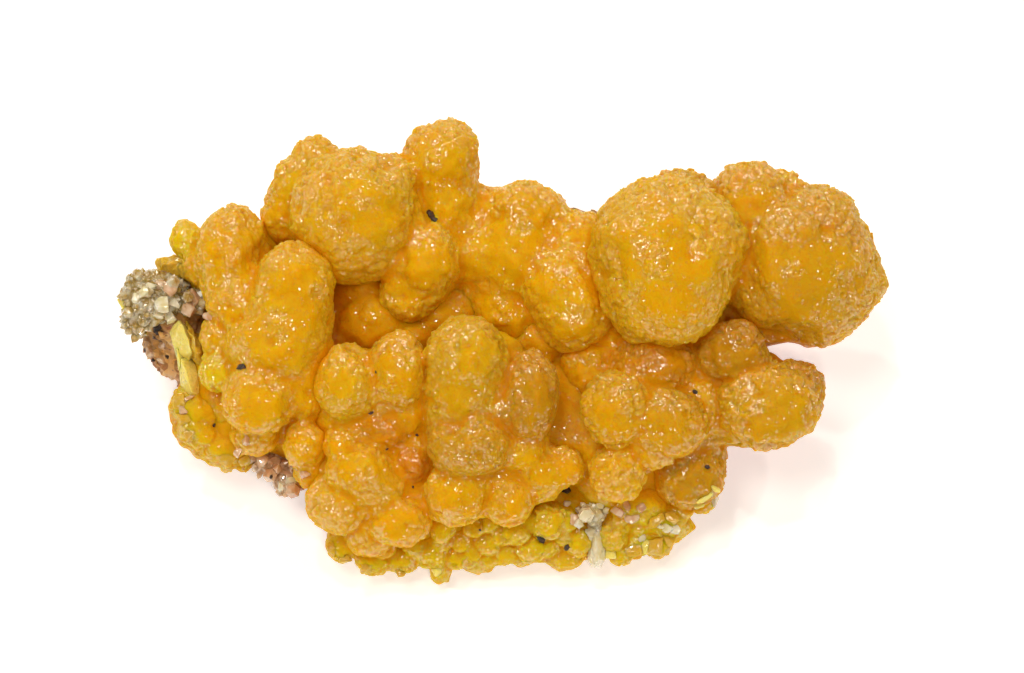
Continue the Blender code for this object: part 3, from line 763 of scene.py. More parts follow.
def resinous_mimetite(name, amber, deep_tint_and_shade, lime, tan_and_shade, frost_and_highlight, reach=(0.8, (1.0, 0.45, 0.1))):
    """Mimetite, a lead arsenate, grown as knobs: resinous and translucent, so light spreads about a millimetre
    inside it. Its hollows are painted a deeper orange as painted shade, and its creases have a painted glow of orange
    emission. A druse of tiny flat-faced crystals on its caps and rims throws sharp glints and whitens it to a tan
    veil, which is partly its own frost and partly a painted highlight on the upper sides; a few of its crystals are
    paler, partly as their own tone and partly as painted glints."""
    material, tree, here = new_material(name)
    share = {
        key: add_node(tree, "ShaderNodeAttribute", attribute_name=key).outputs["Fac"]
        for key in ("druse", "sunk", "lime", "tan_and_shade", "frost_and_highlight", "painted_glow")
    }
    # The druse's flat faces, 0.12 mm across: each turns the gloss its own way, so only a few catch a lamp.
    faced, cells = druse_faces(tree, here, 0.12, 0.65)
    # Clouds in the body, about 1.2 mm across, and the druse's frost, 0.2 mm across.
    cloud = add_node(tree, "ShaderNodeTexNoise", {"Vector": here, "Scale": 1 / (1.2 * MM), "Detail": 3})
    frost = add_node(tree, "ShaderNodeTexNoise", {"Vector": here, "Scale": 1 / (0.2 * MM), "Detail": 2})
    clouded = add_node(tree, "ShaderNodeMapRange", {0: cloud, 1: 0.35, 2: 0.65})
    frosted = add_node(tree, "ShaderNodeMapRange", {0: frost, 1: 0.42, 2: 0.62})
    limed = {0: clouded, 1: 0.25, 2: share["lime"]}
    limed = add_node(tree, "ShaderNodeMath", limed, operation="MULTIPLY_ADD")
    # The tan share: a knob's own tan tone, and painted shade on knobs that lie in shade.
    tanned_and_shaded = add_node(tree, "ShaderNodeMath", {0: share["tan_and_shade"], 1: 0.75}, operation="MULTIPLY")
    # Painted shade: the body is mixed toward a deeper orange as far as the sunk share says.
    deep_tint_and_shade_share = add_node(tree, "ShaderNodeMath", {0: share["sunk"], 1: 0.9}, operation="MULTIPLY")
    # Painted shade: the gaps between the druse's crystals are painted a deeper orange. A few of the crystals are
    # paler, partly as their own tone and partly as painted glints.
    gap_shade = add_node(tree, "ShaderNodeMapRange", {0: cells, 1: 0.3, 2: 0.65, 4: 0.15})
    painted_gap_shade = add_node(tree, "ShaderNodeMath", {0: gap_shade, 1: share["druse"]}, operation="MULTIPLY")
    pick = add_node(tree, "ShaderNodeTexWhiteNoise", {"Vector": cells.outputs["Position"]})
    pale = add_node(tree, "ShaderNodeMapRange", {0: pick, 1: 0.7, 2: 1.0, 4: 0.12})
    pale_tone_and_glint_share = add_node(tree, "ShaderNodeMath", {0: pale, 1: share["druse"]}, operation="MULTIPLY")
    # The veil: the druse's frost, with a painted highlight where the share is high on the upper sides.
    frost_and_highlight_share = add_node(tree, "ShaderNodeMath", {0: share["frost_and_highlight"], 1: frosted}, operation="MULTIPLY")
    frost_and_highlight_share = add_node(tree, "ShaderNodeMath", {0: frost_and_highlight_share, 1: 0.24}, operation="MULTIPLY")
    body = linear(amber)
    stains = ((limed, lime), (tanned_and_shaded, tan_and_shade), (deep_tint_and_shade_share, deep_tint_and_shade), (painted_gap_shade, deep_tint_and_shade), (pale_tone_and_glint_share, frost_and_highlight), (frost_and_highlight_share, frost_and_highlight))
    for much, tint in stains:
        mixed = add_node(tree, "ShaderNodeMix", {0: much, 6: body, 7: linear(tint)}, data_type="RGBA")
        body = mixed.outputs[2]

    # Where the druse is thin, most of the places for a flat face are dull, and so are those that are seen edge on.
    patch = add_node(tree, "ShaderNodeTexNoise", {"Vector": here, "Scale": 1 / (0.7 * MM), "Detail": 2})
    patched = add_node(tree, "ShaderNodeMapRange", {0: patch, 1: 0.42, 2: 0.58, 3: 0.6, 4: 2.4})
    crowd = add_node(tree, "ShaderNodeMath", {0: share["druse"], 1: patched}, operation="MULTIPLY")
    aside = add_node(tree, "ShaderNodeLayerWeight", {"Blend": 0.5})
    turned = add_node(tree, "ShaderNodeMapRange", {0: aside.outputs["Facing"], 1: 0.25, 2: 0.6, 3: 1.0, 4: 0.15})
    crowd = add_node(tree, "ShaderNodeMath", {0: crowd, 1: turned}, operation="MULTIPLY")
    glossed = add_node(tree, "ShaderNodeMath", {0: pick, 1: crowd}, operation="LESS_THAN")
    glossed = add_node(tree, "ShaderNodeMath", {0: glossed, 1: 0.9}, operation="MULTIPLY")
    # Painted glow: a faint orange emission in the creases, though they are no lamp.
    painted_glow_strength = add_node(tree, "ShaderNodeMath", {0: share["painted_glow"], 1: 0.12}, operation="MULTIPLY")
    relief = add_node(tree, "ShaderNodeBump", {"Height": frost, "Strength": 0.5, "Distance": 0.05 * MM})
    finish_material(tree, {
        "Base Color": body, "Normal": relief, "Coat Normal": faced,
        "Coat Weight": glossed, "Coat Roughness": 0.18, "Coat IOR": 1.9, "Roughness": 0.45, "IOR": 2.1,
        "Specular IOR Level": 0.02, "Subsurface Weight": 1.0, "Subsurface Radius": reach[1],
        "Subsurface Scale": reach[0] * MM, "Emission Color": linear("#F08C00"), "Emission Strength": painted_glow_strength,
    })
    return material


def iron_stained_rock(name):
    """Gossan: quartz and iron oxides that weathering left, broken by hand. It is matt, sugary and blotched from
    cream and pink to rust brown, with dark pits."""
    material, tree, here = new_material(name)
    # Stains 1.6 mm across, sugary grains of 0.28 mm, and pits 0.7 mm apart.
    blotch = add_node(tree, "ShaderNodeTexNoise", {"Vector": here, "Scale": 1 / (1.6 * MM), "Detail": 5})
    sugar = add_node(tree, "ShaderNodeTexVoronoi", {"Vector": here, "Scale": 1 / (0.28 * MM)})
    pit = add_node(tree, "ShaderNodeTexNoise", {"Vector": here, "Scale": 1 / (0.7 * MM), "Detail": 3})
    body = add_node(tree, "ShaderNodeValToRGB", {"Fac": blotch})
    stops = body.color_ramp.elements
    stops[0].position, stops[0].color = 0.3, linear("#8A5F30")
    stops[1].position, stops[1].color = 0.7, linear("#E4BE94")
    stops.new(0.44).color = linear("#B8863C")
    stops.new(0.56).color = linear("#D0A06C")
    tone = add_node(tree, "ShaderNodeRGBToBW", {"Color": sugar.outputs["Color"]})
    grain = {0: 0.6, 6: body, 7: tone}
    grain = add_node(tree, "ShaderNodeMix", grain, data_type="RGBA", blend_type="OVERLAY")
    dark = add_node(tree, "ShaderNodeMapRange", {0: pit, 1: 0.36, 2: 0.3})
    stained = {0: dark, 6: grain.outputs[2], 7: linear("#3E2A1C")}
    stained = add_node(tree, "ShaderNodeMix", stained, data_type="RGBA")
    bumps = {0: sugar, 1: 0.5, 2: pit}
    bumps = add_node(tree, "ShaderNodeMath", bumps, operation="MULTIPLY_ADD")
    relief = add_node(tree, "ShaderNodeBump", {"Height": bumps, "Strength": 0.9, "Distance": 0.22 * MM})
    rough = add_node(tree, "ShaderNodeMapRange", {0: sugar, 3: 0.75, 4: 0.4})
    finish_material(tree, {
        "Base Color": stained.outputs[2], "Normal": relief, "Roughness": rough, "IOR": 1.54,
        "Subsurface Weight": 0.25, "Subsurface Radius": (1.0, 0.6, 0.4), "Subsurface Scale": 0.4 * MM,
    })
    return material


def clear_quartz(name, tint, milk, through, rough):
    """Quartz grown as small crystals: glassy faces, clear to milky inside, with a faint stain of iron."""
    material, tree, here = new_material(name)
    # Milky clouds, 0.5 mm across, that are rougher and let less light through.
    cloud = add_node(tree, "ShaderNodeTexNoise", {"Vector": here, "Scale": 1 / (0.5 * MM), "Detail": 3})
    clouded = add_node(tree, "ShaderNodeMapRange", {0: cloud, 1: 0.4, 2: 0.64})
    body = {0: clouded, 6: linear(tint), 7: linear(milk)}
    body = add_node(tree, "ShaderNodeMix", body, data_type="RGBA")
    glossy = add_node(tree, "ShaderNodeMapRange", {0: cloud, 3: rough, 4: rough + 0.2})
    clear = add_node(tree, "ShaderNodeMapRange", {0: clouded, 3: through, 4: through * 0.6})
    relief = {"Height": cloud, "Strength": 0.15, "Distance": 0.05 * MM}
    relief = add_node(tree, "ShaderNodeBump", relief)
    faced, _ = druse_faces(tree, here, 0.16, 0.8)
    finish_material(tree, {
        "Base Color": body.outputs[2], "Roughness": glossy, "IOR": 1.54, "Normal": relief,
        "Coat Weight": 0.9, "Coat Roughness": 0.12, "Coat IOR": 1.9, "Coat Normal": faced,
        "Transmission Weight": clear, "Subsurface Weight": 0.5, "Subsurface Radius": (1.0, 0.8, 0.6),
        "Subsurface Scale": 0.4 * MM,
    })
    return material


def dark_goethite(name):
    """Goethite in specks: nearly black, with a dull submetallic lustre and rusty edges."""
    material, tree, here = new_material(name)
    rust = add_node(tree, "ShaderNodeTexNoise", {"Vector": here, "Scale": 1 / (0.12 * MM), "Detail": 2})
    rusted = add_node(tree, "ShaderNodeMapRange", {0: rust, 1: 0.5, 2: 0.7})
    body = {0: rusted, 6: linear("#20130B"), 7: linear("#5A3416")}
    body = add_node(tree, "ShaderNodeMix", body, data_type="RGBA")
    relief = {"Height": rust, "Strength": 0.5, "Distance": 0.03 * MM}
    relief = add_node(tree, "ShaderNodeBump", relief)
    finish_material(tree, {"Base Color": body.outputs[2], "Roughness": 0.6, "IOR": 1.7, "Normal": relief})
    return material


# How far light spreads in a small crystal, in millimetres, and the share of that for red, green and blue.
SHORT_REACH = (0.25, (1.0, 0.85, 0.5))
# Each mimetite's colours are its body, the deeper orange of its painted shade, lime, a tan that is partly painted
# shade, and a veil that is partly frost and partly painted highlight.
ORANGE = resinous_mimetite("resinous mimetite", "#E4AC04", "#BC5200", "#DEC414", "#A87414", "#EACB98")
LEMON = resinous_mimetite("lemon mimetite", "#F0E27C", "#DCC038", "#DCC83C", "#E8D9A0", "#F0E2B0", SHORT_REACH)
LIME = resinous_mimetite("lime mimetite", "#D4AC28", "#B88C18", "#D2BC34", "#D9B46A", "#E8D2A0", SHORT_REACH)
ROCK = iron_stained_rock("iron stained gossan")
DRUSY = clear_quartz("drusy quartz", "#DDBA62", "#FDF2D4", 0.5, 0.05)
PINK = clear_quartz("pink quartz", "#ECB98C", "#F4D2AE", 0.35, 0.1)
WHITE = clear_quartz("white quartz", "#F4E6B0", "#FCF6E0", 0.2, 0.1)
GOETHITE = dark_goethite("goethite")

crust_piece("crust_right_giants", RIGHT_GIANTS, 0.09, 3, blend=0.3, coarse=1.1)
crust_piece("crust_right_lobes", RIGHT_LOBES, 0.09, 4, RIGHT_FILL, blend=0.25, coarse=1.1)
crust_piece("crust_back_row", BACK_ROW, 0.1, 5, BACK_FILL, blend=0.7)
crust_piece("crust_left_shoulder", LEFT_SHOULDER, 0.09, 6, LEFT_FILL, blend=0.6, coarse=0.8)
crust_piece("crust_middle_ridge", MIDDLE_RIDGE, 0.093, 7, RIDGE_FILL, blend=0.35, coarse=0.8)
crust_piece(
    "crust_lower_rim", LOWER_RIM + RIM_BEADS, 0.085, 9, RIM_FILL, blend=0.15, coarse=0.9, tints=RIM_TINTS,
)
crust_piece("crust_bed", HOLLOW, 0.14, 8, BED, coarse=0.6, shine=0.6, low_lime=0.8)


# The rock's corners on the face, in millimetres, and the grid that it is grown on.
ROCK_LOW, ROCK_HIGH = np.array((-19.0, -11.0, -7.5)), np.array((12.0, 11.0, 3.0))
ROCK_VOXEL = 0.2


def rock_piece():
    """The rock: tilted slabs under the crust and a foot that is flat where it rests."""
    counts = np.ceil((ROCK_HIGH - ROCK_LOW) / ROCK_VOXEL).astype(int)
    ticks = [ROCK_LOW[axis] + ROCK_VOXEL * np.arange(counts[axis], dtype=np.float32) for axis in range(3)]
    points = np.stack(np.meshgrid(*ticks, indexing="ij"), axis=-1).reshape(-1, 3)
    field = np.full(len(points), 1.0, np.float32)
    for number, slab in enumerate(ROCK_FACE):
        field = melted(field, ball_distance(points, *lump_sizes(slab), number), ROCK_BLEND)
    world = points @ FACE_AXES + (0, 0, DATUM_HEIGHT)
    for number, foot in enumerate(ROCK_FOOT):
        field = melted(field, ball_distance(world, *lump_sizes(foot), number + 9), ROCK_BLEND)
    field = np.maximum(field, -world[:, 2])
    points, faces = skin_of(field.reshape(counts).astype(np.float32), ROCK_LOW, ROCK_VOXEL)
    skin = mesh_from(points, faces)
    # Broken lumps of 0.7 mm on swells of 1.8 mm, and sugary grains of 0.36 mm.
    way, chance, *_ = grains(points, 0.7, 2)
    raised = slant_of(way, chance[:, :3]) * 0.7 + 0.3 * clouds(points, 1.8, 5) - 0.15
    way, chance, *_ = grains(points, 0.36, 6)
    raised += slant_of(way, chance[:, :3]) * 0.9
    placed = to_world(points + normals_of(skin) * raised[:, None])
    placed[:, 2] = np.maximum(placed[:, 2], 0)
    move_points(skin, placed)
    add_piece(skin, "rock", ROCK, ("rock_matrix",))


rock_piece()


# All the random draws below, in the order of the pieces.
DICE = random.Random(5)


def random_way(upright=0.0):
    return Vector((DICE.gauss(0, 1), DICE.gauss(0, 1), DICE.gauss(upright, 1)))


def crystal_axes(along, twist):
    """Axes with the third one along a direction, turned about it."""
    z = along.normalized()
    y = z.cross(Vector((0.31, 0.52, 0.79))).normalized()
    return Matrix((y.cross(z), y, z)).transposed().to_4x4() @ Matrix.Rotation(twist, 4, "Z")


# A crystal's tip in half widths, the least of its length that is shaft, and how much the shaft narrows.
TIP_HIGH, LEAST_SHAFT, TAPER = 0.95, 0.2, 0.93
# How deep a sprinkled crystal's root is in its lump, how far it leans aside, and how flat it may be.
ROOT_PLACE, SPREAD, FLATNESS = 0.85, 0.8, (0.75, 1.0)


def add_crystal(mesh, root, tip, radius, twist=0.0, flat=1.0):
    """A six-sided crystal with a pyramid for its tip, its root and tip given on the face."""
    start, end = place(*root), place(*tip)
    along = end - start
    shaft = max(along.length - TIP_HIGH * radius, LEAST_SHAFT * along.length)
    axes = Matrix.Translation(start) @ crystal_axes(along, twist)
    rings = []
    for height, width in ((0, 1.0), (shaft, TAPER)):
        ring = []
        for side in range(6):
            turn = math.radians(60 * side)
            corner = Vector((radius * width * math.cos(turn), radius * width * flat * math.sin(turn), height))
            ring.append(mesh.verts.new(axes @ corner))
        rings.append(ring)
    point = mesh.verts.new(axes @ Vector((0, 0, along.length)))
    mesh.faces.new(list(reversed(rings[0])))
    for side in range(6):
        after = (side + 1) % 6
        mesh.faces.new((rings[0][side], rings[0][after], rings[1][after], rings[1][side]))
        mesh.faces.new((rings[1][side], rings[1][after], point))


def sprinkle_crystals(mesh, lumps, how_many, sizes, stretch):
    """Small crystals that stand all over some lumps, more or less upright on them."""
    for _ in range(how_many):
        lump = DICE.choice(lumps)
        lean = random_way(0.5).normalized()
        foot = [middle + ROOT_PLACE * half * side for middle, half, side in zip(lump[:3], lump[3:], lean)]
        radius = DICE.uniform(*sizes)
        length = radius * DICE.uniform(*stretch)
        aim = (lean + SPREAD * random_way()).normalized()
        tip = [start + length * side for start, side in zip(foot, aim)]
        add_crystal(mesh, foot, tip, radius, DICE.uniform(0, 6), DICE.uniform(*FLATNESS))


def crystal_piece(mesh, name, material, replaced, shares=None):
    """A piece from crystals or blocks in millimetres, with each share the same all over it."""
    skin = bpy.data.meshes.new("crystals")
    mesh.to_mesh(skin)
    mesh.free()
    skin.transform(Matrix.Scale(MM, 4))
    shares = {key: np.full(len(skin.vertices), value) for key, value in (shares or {}).items()}
    add_piece(skin, name, material, replaced, shares)


# The grid of the quartz's lumps and the fillet between them, in millimetres.
LUMP_VOXEL, LUMP_BLEND = 0.1, 0.3


def lump_piece(name, material, lumps, replaced, shift):
    """Small grown lumps under a group of crystals."""
    points, faces = skin_of(*grow([], lumps, LUMP_VOXEL, LUMP_BLEND, LUMP_BLEND), LUMP_VOXEL)
    skin = mesh_from(points, faces)
    way, chance, *_ = grains(points, 0.34, shift)
    raised = slant_of(way, chance[:, :3]) * 0.6 - 0.12
    move_points(skin, to_world(points + normals_of(skin) * raised[:, None]))
    add_piece(skin, name, material, replaced)


# The quartz: which lumps small crystals are sprinkled on, how many, how wide and how many times longer, and how thick
# the large crystals are, as a share of their rows' half widths.
LEFT_SPRINKLES = (
    (QUARTZ_LEFT_LUMPS[:2], 330, (0.1, 0.24), (1.0, 2.4)), (QUARTZ_LEFT_LUMPS[2:], 120, (0.1, 0.3), (1.0, 2.2)),
)
for name, slot, material, lumps, crystals, thick, node, shift in (
    ("quartz_left", "drusy_quartz", DRUSY, QUARTZ_LEFT_LUMPS, QUARTZ_LEFT_CRYSTALS, 0.8, "quartz_left", 1),
    ("quartz_seam", "pink_quartz", PINK, SEAM_LUMPS, SEAM_CRYSTALS, 1.0, "quartz_seam_lower_left", 4),
    ("quartz_middle", "white_quartz", WHITE, RIM_MIDDLE_LUMPS, RIM_MIDDLE_CRYSTALS, 1.0, "quartz_rim_middle", 4),
    ("quartz_right", "white_quartz", WHITE, RIM_RIGHT_LUMPS, RIM_RIGHT_CRYSTALS, 1.0, "quartz_rim_right", 4),
):
    lump_piece(name + "_lumps", material, lumps, (node,), shift)
    mesh = bmesh.new()
    for sprinkle in LEFT_SPRINKLES if name == "quartz_left" else ((lumps, 70, (0.08, 0.2), (1.0, 2.4)),):
        sprinkle_crystals(mesh, *sprinkle)
    for crystal in crystals:
        add_crystal(mesh, crystal[:3], crystal[3:6], crystal[6] * thick)
    crystal_piece(mesh, name + "_crystals", material, (node,))


# From what angle between its faces an edge is worn, in radians.
SHARP = 0.3


def add_hull(mesh, corners, edge, rough=0.0):
    """A cleaved block or blade: the smallest solid round its corners, with its edges a little worn."""
    before = set(mesh.verts)
    made = [mesh.verts.new(corner) for corner in corners]
    hull = bmesh.ops.convex_hull(mesh, input=made)
    spare = [thing for thing in hull["geom_interior"] + hull["geom_unused"] if isinstance(thing, bmesh.types.BMVert)]
    bmesh.ops.delete(mesh, geom=list(set(spare)), context="VERTS")
    edges = dict.fromkeys(side for vertex in made if vertex.is_valid for side in vertex.link_edges)
    sharp = [side for side in edges if len(side.link_faces) == 2 and side.calc_face_angle(0) > SHARP]
    bmesh.ops.bevel(mesh, geom=sharp, offset=edge, segments=2, affect="EDGES", profile=0.6)
    if rough:
        edges = [side for side in mesh.edges if side.verts[0] not in before]
        bmesh.ops.subdivide_edges(mesh, edges=edges, cuts=3, use_grid_fill=True)
        for vertex in set(mesh.verts) - before:
            vertex.co += rough * noise.noise_vector(vertex.co * 2.6)


# How a blade's sides draw in, as a share of its width, and how high up that is.
DRAWN_IN, SHOULDER_HIGH = 0.12, 0.62


def blade(outline, ridge, low, high):
    """The corners of a blade: its outline at the foot, the same drawn in above, and its ridge, all a bit uneven."""
    middle = [sum(corner[axis] for corner in outline) / len(outline) for axis in range(2)]
    foot = [(across, up, low) for across, up in outline]
    shoulder = [
        (
            across + DRAWN_IN * (middle[0] - across), up + DRAWN_IN * (middle[1] - up),
            low + SHOULDER_HIGH * (high - low),
        )
        for across, up in outline
    ]
    crest = [(across, up, high) for across, up in ridge]
    return [place(*(side + DICE.uniform(-0.08, 0.08) for side in corner)) for corner in foot + shoulder + crest]


# How many random corners an angular block is drawn round, and its depth as a share of its width.
BLOCK_CORNERS, BLOCK_DEPTH = 13, 0.75


def block(where, size, stretch, turn):
    """The corners of an angular block round a place in the world."""
    corners = []
    for _ in range(BLOCK_CORNERS):
        way = random_way().normalized()
        turned = Matrix.Rotation(math.radians(turn), 3, "Z") @ Vector((way.x, way.y * stretch, 0))
        corners.append(where + size * (SIDE * turned.x + UP_FACE * turned.y + OUT * way.z * BLOCK_DEPTH))
    return corners


# Blades: the outline at the foot and the ridge, each across and up, and how far out the foot and the ridge are.
LEMON_BLADES = [
    (
        [(-15.95, 2.05), (-16.45, 1.4), (-16.1, 0.2), (-15.3, -0.1), (-15.0, 0.5), (-15.5, 1.5)],
        [(-15.7, 1.7), (-15.2, 0.3)], 0.9, 3.0,
    ),
    (
        [(-16.05, 0.35), (-15.4, 0.2), (-14.85, -0.6), (-14.8, -1.9), (-15.4, -2.05), (-15.9, -1.4)],
        [(-15.7, -0.1), (-15.2, -1.6)], 0.7, 2.8,
    ),
    ([(-16.2, 0.9), (-15.7, 0.8), (-15.4, -0.4), (-16.0, -0.6)], [(-16.0, 0.5), (-15.8, -0.2)], 0.7, 2.6),
]
LIME_BLADES = [
    (
        [(-15.6, 2.0), (-15.0, 1.1), (-14.5, 0.3), (-14.7, -0.5), (-15.2, -0.1), (-15.5, 1.2)],
        [(-15.35, 1.4), (-14.9, 0.2)], 0.9, 3.2,
    ),
    (
        [(-17.2, 4.95), (-16.5, 5.2), (-15.2, 5.25), (-15.1, 4.1), (-16.2, 4.1), (-17.0, 4.5)],
        [(-16.5, 4.8), (-15.4, 4.9)], 0.6, 2.3,
    ),
    ([(-16.2, 4.9), (-15.4, 5.0), (-15.0, 4.5), (-15.3, 3.9), (-15.9, 4.0)], [(-15.7, 4.6), (-15.4, 4.4)], 0.6, 2.7),
    ([(-14.9, -3.3), (-14.2, -3.5), (-14.1, -4.5), (-14.8, -4.6), (-15.2, -4.0)], [(-14.6, -3.8)], 0.3, 2.0),
    ([(-14.1, -3.9), (-13.3, -4.0), (-13.0, -4.9), (-13.5, -5.4), (-14.2, -4.7)], [(-13.6, -4.3)], 0.3, 1.7),
    ([(-13.1, -4.3), (-12.4, -4.2), (-12.2, -5.0), (-12.65, -5.6), (-13.2, -5.0)], [(-12.7, -4.7)], 0.3, 1.6),
    ([(-2.5, -10.4), (-2.6, -11.1), (-3.2, -11.15), (-3.4, -10.5), (-2.9, -10.1)], [(-2.9, -10.5)], 0.3, 1.2),
    ([(9.4, -6.3), (10.3, -6.1), (10.9, -6.5), (10.4, -7.2), (9.5, -7.3)], [(9.9, -6.5), (10.3, -6.7)], 0.9, 2.4),
]
PALE_BLADES = [(
    [(4.5, -8.45), (5.05, -8.35), (5.3, -8.8), (5.25, -9.9), (5.0, -10.3), (4.5, -10.3), (4.25, -9.9), (4.4, -9.2)],
    [(4.75, -8.7), (4.85, -9.9)], 1.1, 2.5,
)]
LEMON_SHARES = {"druse": 0.35, "frost_and_highlight": 0.25}
LIME_SHARES = {"druse": 0.4, "frost_and_highlight": 0.3, "tan_and_shade": 0.1}
for name, rows, slot, material, node, shares, edge, rough in (
    ("lemon_blade", LEMON_BLADES, "lemon_mimetite", LEMON, "lemon_mimetite_blade", LEMON_SHARES, 0.07, 0.03),
    ("lime_blades", LIME_BLADES, "lemon_mimetite", LIME, "mimetite_crust", LIME_SHARES, 0.07, 0.03),
    ("pale_blade", PALE_BLADES, "white_quartz", WHITE, "quartz_rim_middle", None, 0.05, 0.0),
):
    mesh = bmesh.new()
    for row in rows:
        add_hull(mesh, blade(*row), edge, rough)
    crystal_piece(mesh, name, material, (node,), shares)

# The camera looks straight down on the face, so the steepness of its view makes a right angle with the face's lean.
# Its aim, its distance, its lens, its sensor and the width that it sees are in millimetres.
LOOK_DOWN = math.radians(68)
CAMERA_AIM = place(0.6, 1.175, 0)
CAMERA_SIDE = Vector((0, -math.cos(LOOK_DOWN), math.sin(LOOK_DOWN)))
CAMERA_DISTANCE = 284.4
LENS, SENSOR, SEEN_WIDTH = 200, 36, 51.2
# The picture: the pixel where the face's datum is, and the scale.
DATUM_X, DATUM_Y, PIXELS_PER_MM = 500, 360, 20
CAMERA_PLACE = CAMERA_AIM + CAMERA_SIDE * CAMERA_DISTANCE
bpy.context.view_layer.update()
SEEN = bpy.context.evaluated_depsgraph_get()


def surface_at(x, y):
    """Where the surface is, in millimetres, at a place in the picture, and the way that it faces."""
    aim = place((x - DATUM_X) / PIXELS_PER_MM, (DATUM_Y - y) / PIXELS_PER_MM, 0) - CAMERA_PLACE
    found, where, normal, *_ = bpy.context.scene.ray_cast(SEEN, CAMERA_PLACE * MM, aim.normalized())
    return (where / MM, normal) if found else (None, None)


# Angular blocks: their places in the picture, half widths in millimetres, how tall and how turned they are.
LEMON_BLOCKS = [
    (137, 344, 0.26, 1.2, 0),
    (140, 350, 0.2, 1.0, 50), (122, 305, 0.3, 1.6, 10), (611, 553, 0.45, 1.0, 0),
    (646, 547, 0.35, 1.2, 0), (705, 498, 0.5, 0.4, 30), (714, 489, 0.4, 0.45, -20), (697, 506, 0.42, 0.4, 10),
    (430, 578, 0.35, 1.3, 20), (437, 570, 0.3, 1.2, -10),
]
LIME_BLOCKS = [
    (656, 546, 0.62, 1.0, 8), (668, 540, 0.4, 1.2, 30), (654, 520, 0.6, 0.7, 25), (672, 517, 0.5, 0.8, -15),
    (634, 548, 0.5, 1.2, 0), (180, 402, 0.42, 1.2, 0), (184, 418, 0.45, 1.1, 40), (190, 434, 0.42, 1.0, 10),
    (226, 459, 0.42, 1.2, 0), (244, 461, 0.36, 1.2, 20), (345, 560, 0.4, 1.0, 0),
    (332, 548, 0.36, 1.2, 0), (366, 568, 0.4, 1.0, 30), (400, 572, 0.36, 1.0, 0), (470, 574, 0.3, 1.0, 0),
]
PINK_BLOCKS = [
    (195, 297, 0.42, 1.2, 15), (190, 309, 0.5, 0.9, 40), (165, 275, 0.42, 1.2, 20), (170, 289, 0.38, 1.2, -20),
    (160, 284, 0.34, 1.0, 50), (209, 316, 0.34, 0.8, 0), (189, 398, 0.32, 1.2, 0), (183, 410, 0.3, 1.1, 20),
    (262, 462, 0.42, 1.0, 0), (275, 468, 0.36, 1.1, 40), (293, 470, 0.38, 0.9, 10), (305, 474, 0.3, 1.0, 0),
    (618, 512, 0.42, 0.9, 0), (632, 517, 0.42, 0.9, 30), (626, 506, 0.36, 1.0, 60), (641, 508, 0.3, 1.0, 0),
    (150, 352, 0.32, 1.1, 0), (160, 362, 0.3, 1.0, 30), (168, 380, 0.32, 1.2, 0), (163, 345, 0.3, 1.0, 20),
    (240, 452, 0.36, 1.0, 0), (252, 458, 0.34, 1.0, 30), (575, 520, 0.4, 1.0, 0), (246, 440, 0.3, 1.0, 0),
]
WHITE_BLOCKS = [
    (163, 304, 0.44, 1.2, 20), (169, 317, 0.42, 1.0, -30), (158, 314, 0.34, 1.2, 0), (174, 303, 0.34, 1.3, 30),
    (585, 515, 0.36, 1.1, 0), (579, 523, 0.3, 1.0, 40), (592, 536, 0.34, 1.5, 30), (642, 537, 0.24, 1.3, 0),
    (668, 527, 0.38, 0.8, 20), (661, 524, 0.3, 0.9, 0), (675, 530, 0.32, 0.9, 40), (283, 486, 0.36, 1.0, 0),
    (291, 481, 0.32, 1.1, 30), (147, 362, 0.28, 1.2, 0), (150, 369, 0.24, 1.0, 30), (144, 292, 0.34, 1.1, 0),
    (136, 298, 0.3, 1.1, 30), (150, 286, 0.3, 1.0, 60), (567, 505, 0.26, 1.1, 0), (600, 505, 0.3, 0.8, 20),
]
# How high above the floor a block's middle has to be.
LEAST_HEIGHT = 0.6
for name, rows, slot, material, node, shares in (
    ("lemon_blocks", LEMON_BLOCKS, "lemon_mimetite", LEMON, "lemon_mimetite_blade", {"druse": 0.4, "frost_and_highlight": 0.3}),
    ("lime_blocks", LIME_BLOCKS, "lemon_mimetite", LIME, "mimetite_crust", {"druse": 0.5, "frost_and_highlight": 0.4}),
    ("pink_blocks", PINK_BLOCKS, "pink_quartz", PINK, "quartz_seam_lower_left", None),
    ("white_blocks", WHITE_BLOCKS, "white_quartz", WHITE, "quartz_rim_middle", None),
):
    mesh = bmesh.new()
    for x, y, size, stretch, turn in rows:
        where, _ = surface_at(x, y)
        if where is not None and where.z > LEAST_HEIGHT:
            add_hull(mesh, block(where, size, stretch, turn), 0.03)
    crystal_piece(mesh, name, material, (node,), shares)

# Specks of goethite: their places in the picture and their half widths in millimetres.
SPECKS = [
    (158, 327, 0.3), (157, 330, 0.24), (242, 367, 0.24), (431, 214, 0.3), (434, 219, 0.2), (540, 537, 0.26),
    (542, 541, 0.22), (567, 547, 0.2), (566, 490, 0.26), (371, 413, 0.12), (387, 449, 0.09), (417, 435, 0.1),
    (707, 467, 0.14), (695, 392, 0.14), (271, 477, 0.12), (155, 375, 0.22), (157, 384, 0.18), (376, 372, 0.08),
    (214, 425, 0.12), (413, 487, 0.08), (480, 530, 0.08), (153, 360, 0.12),
]
mesh = bmesh.new()
for x, y, size in SPECKS:
    where, normal = surface_at(x, y)
    if where is None:
        continue
    made = bmesh.ops.create_icosphere(mesh, subdivisions=2, radius=1)
    turn = normal.to_track_quat("Z", "Y").to_matrix() @ Matrix.Rotation(x, 3, "Z")
    flat = Vector((size, size * 0.7, size * 0.6))
    for vertex in made["verts"]:
        ragged = 1 + 0.5 * noise.noise(vertex.co * 1.7 + Vector((x, y, 0)))
        vertex.co = where + turn @ Vector([side * half * ragged for side, half in zip(vertex.co, flat)])
crystal_piece(mesh, "goethite_specks", GOETHITE, ())


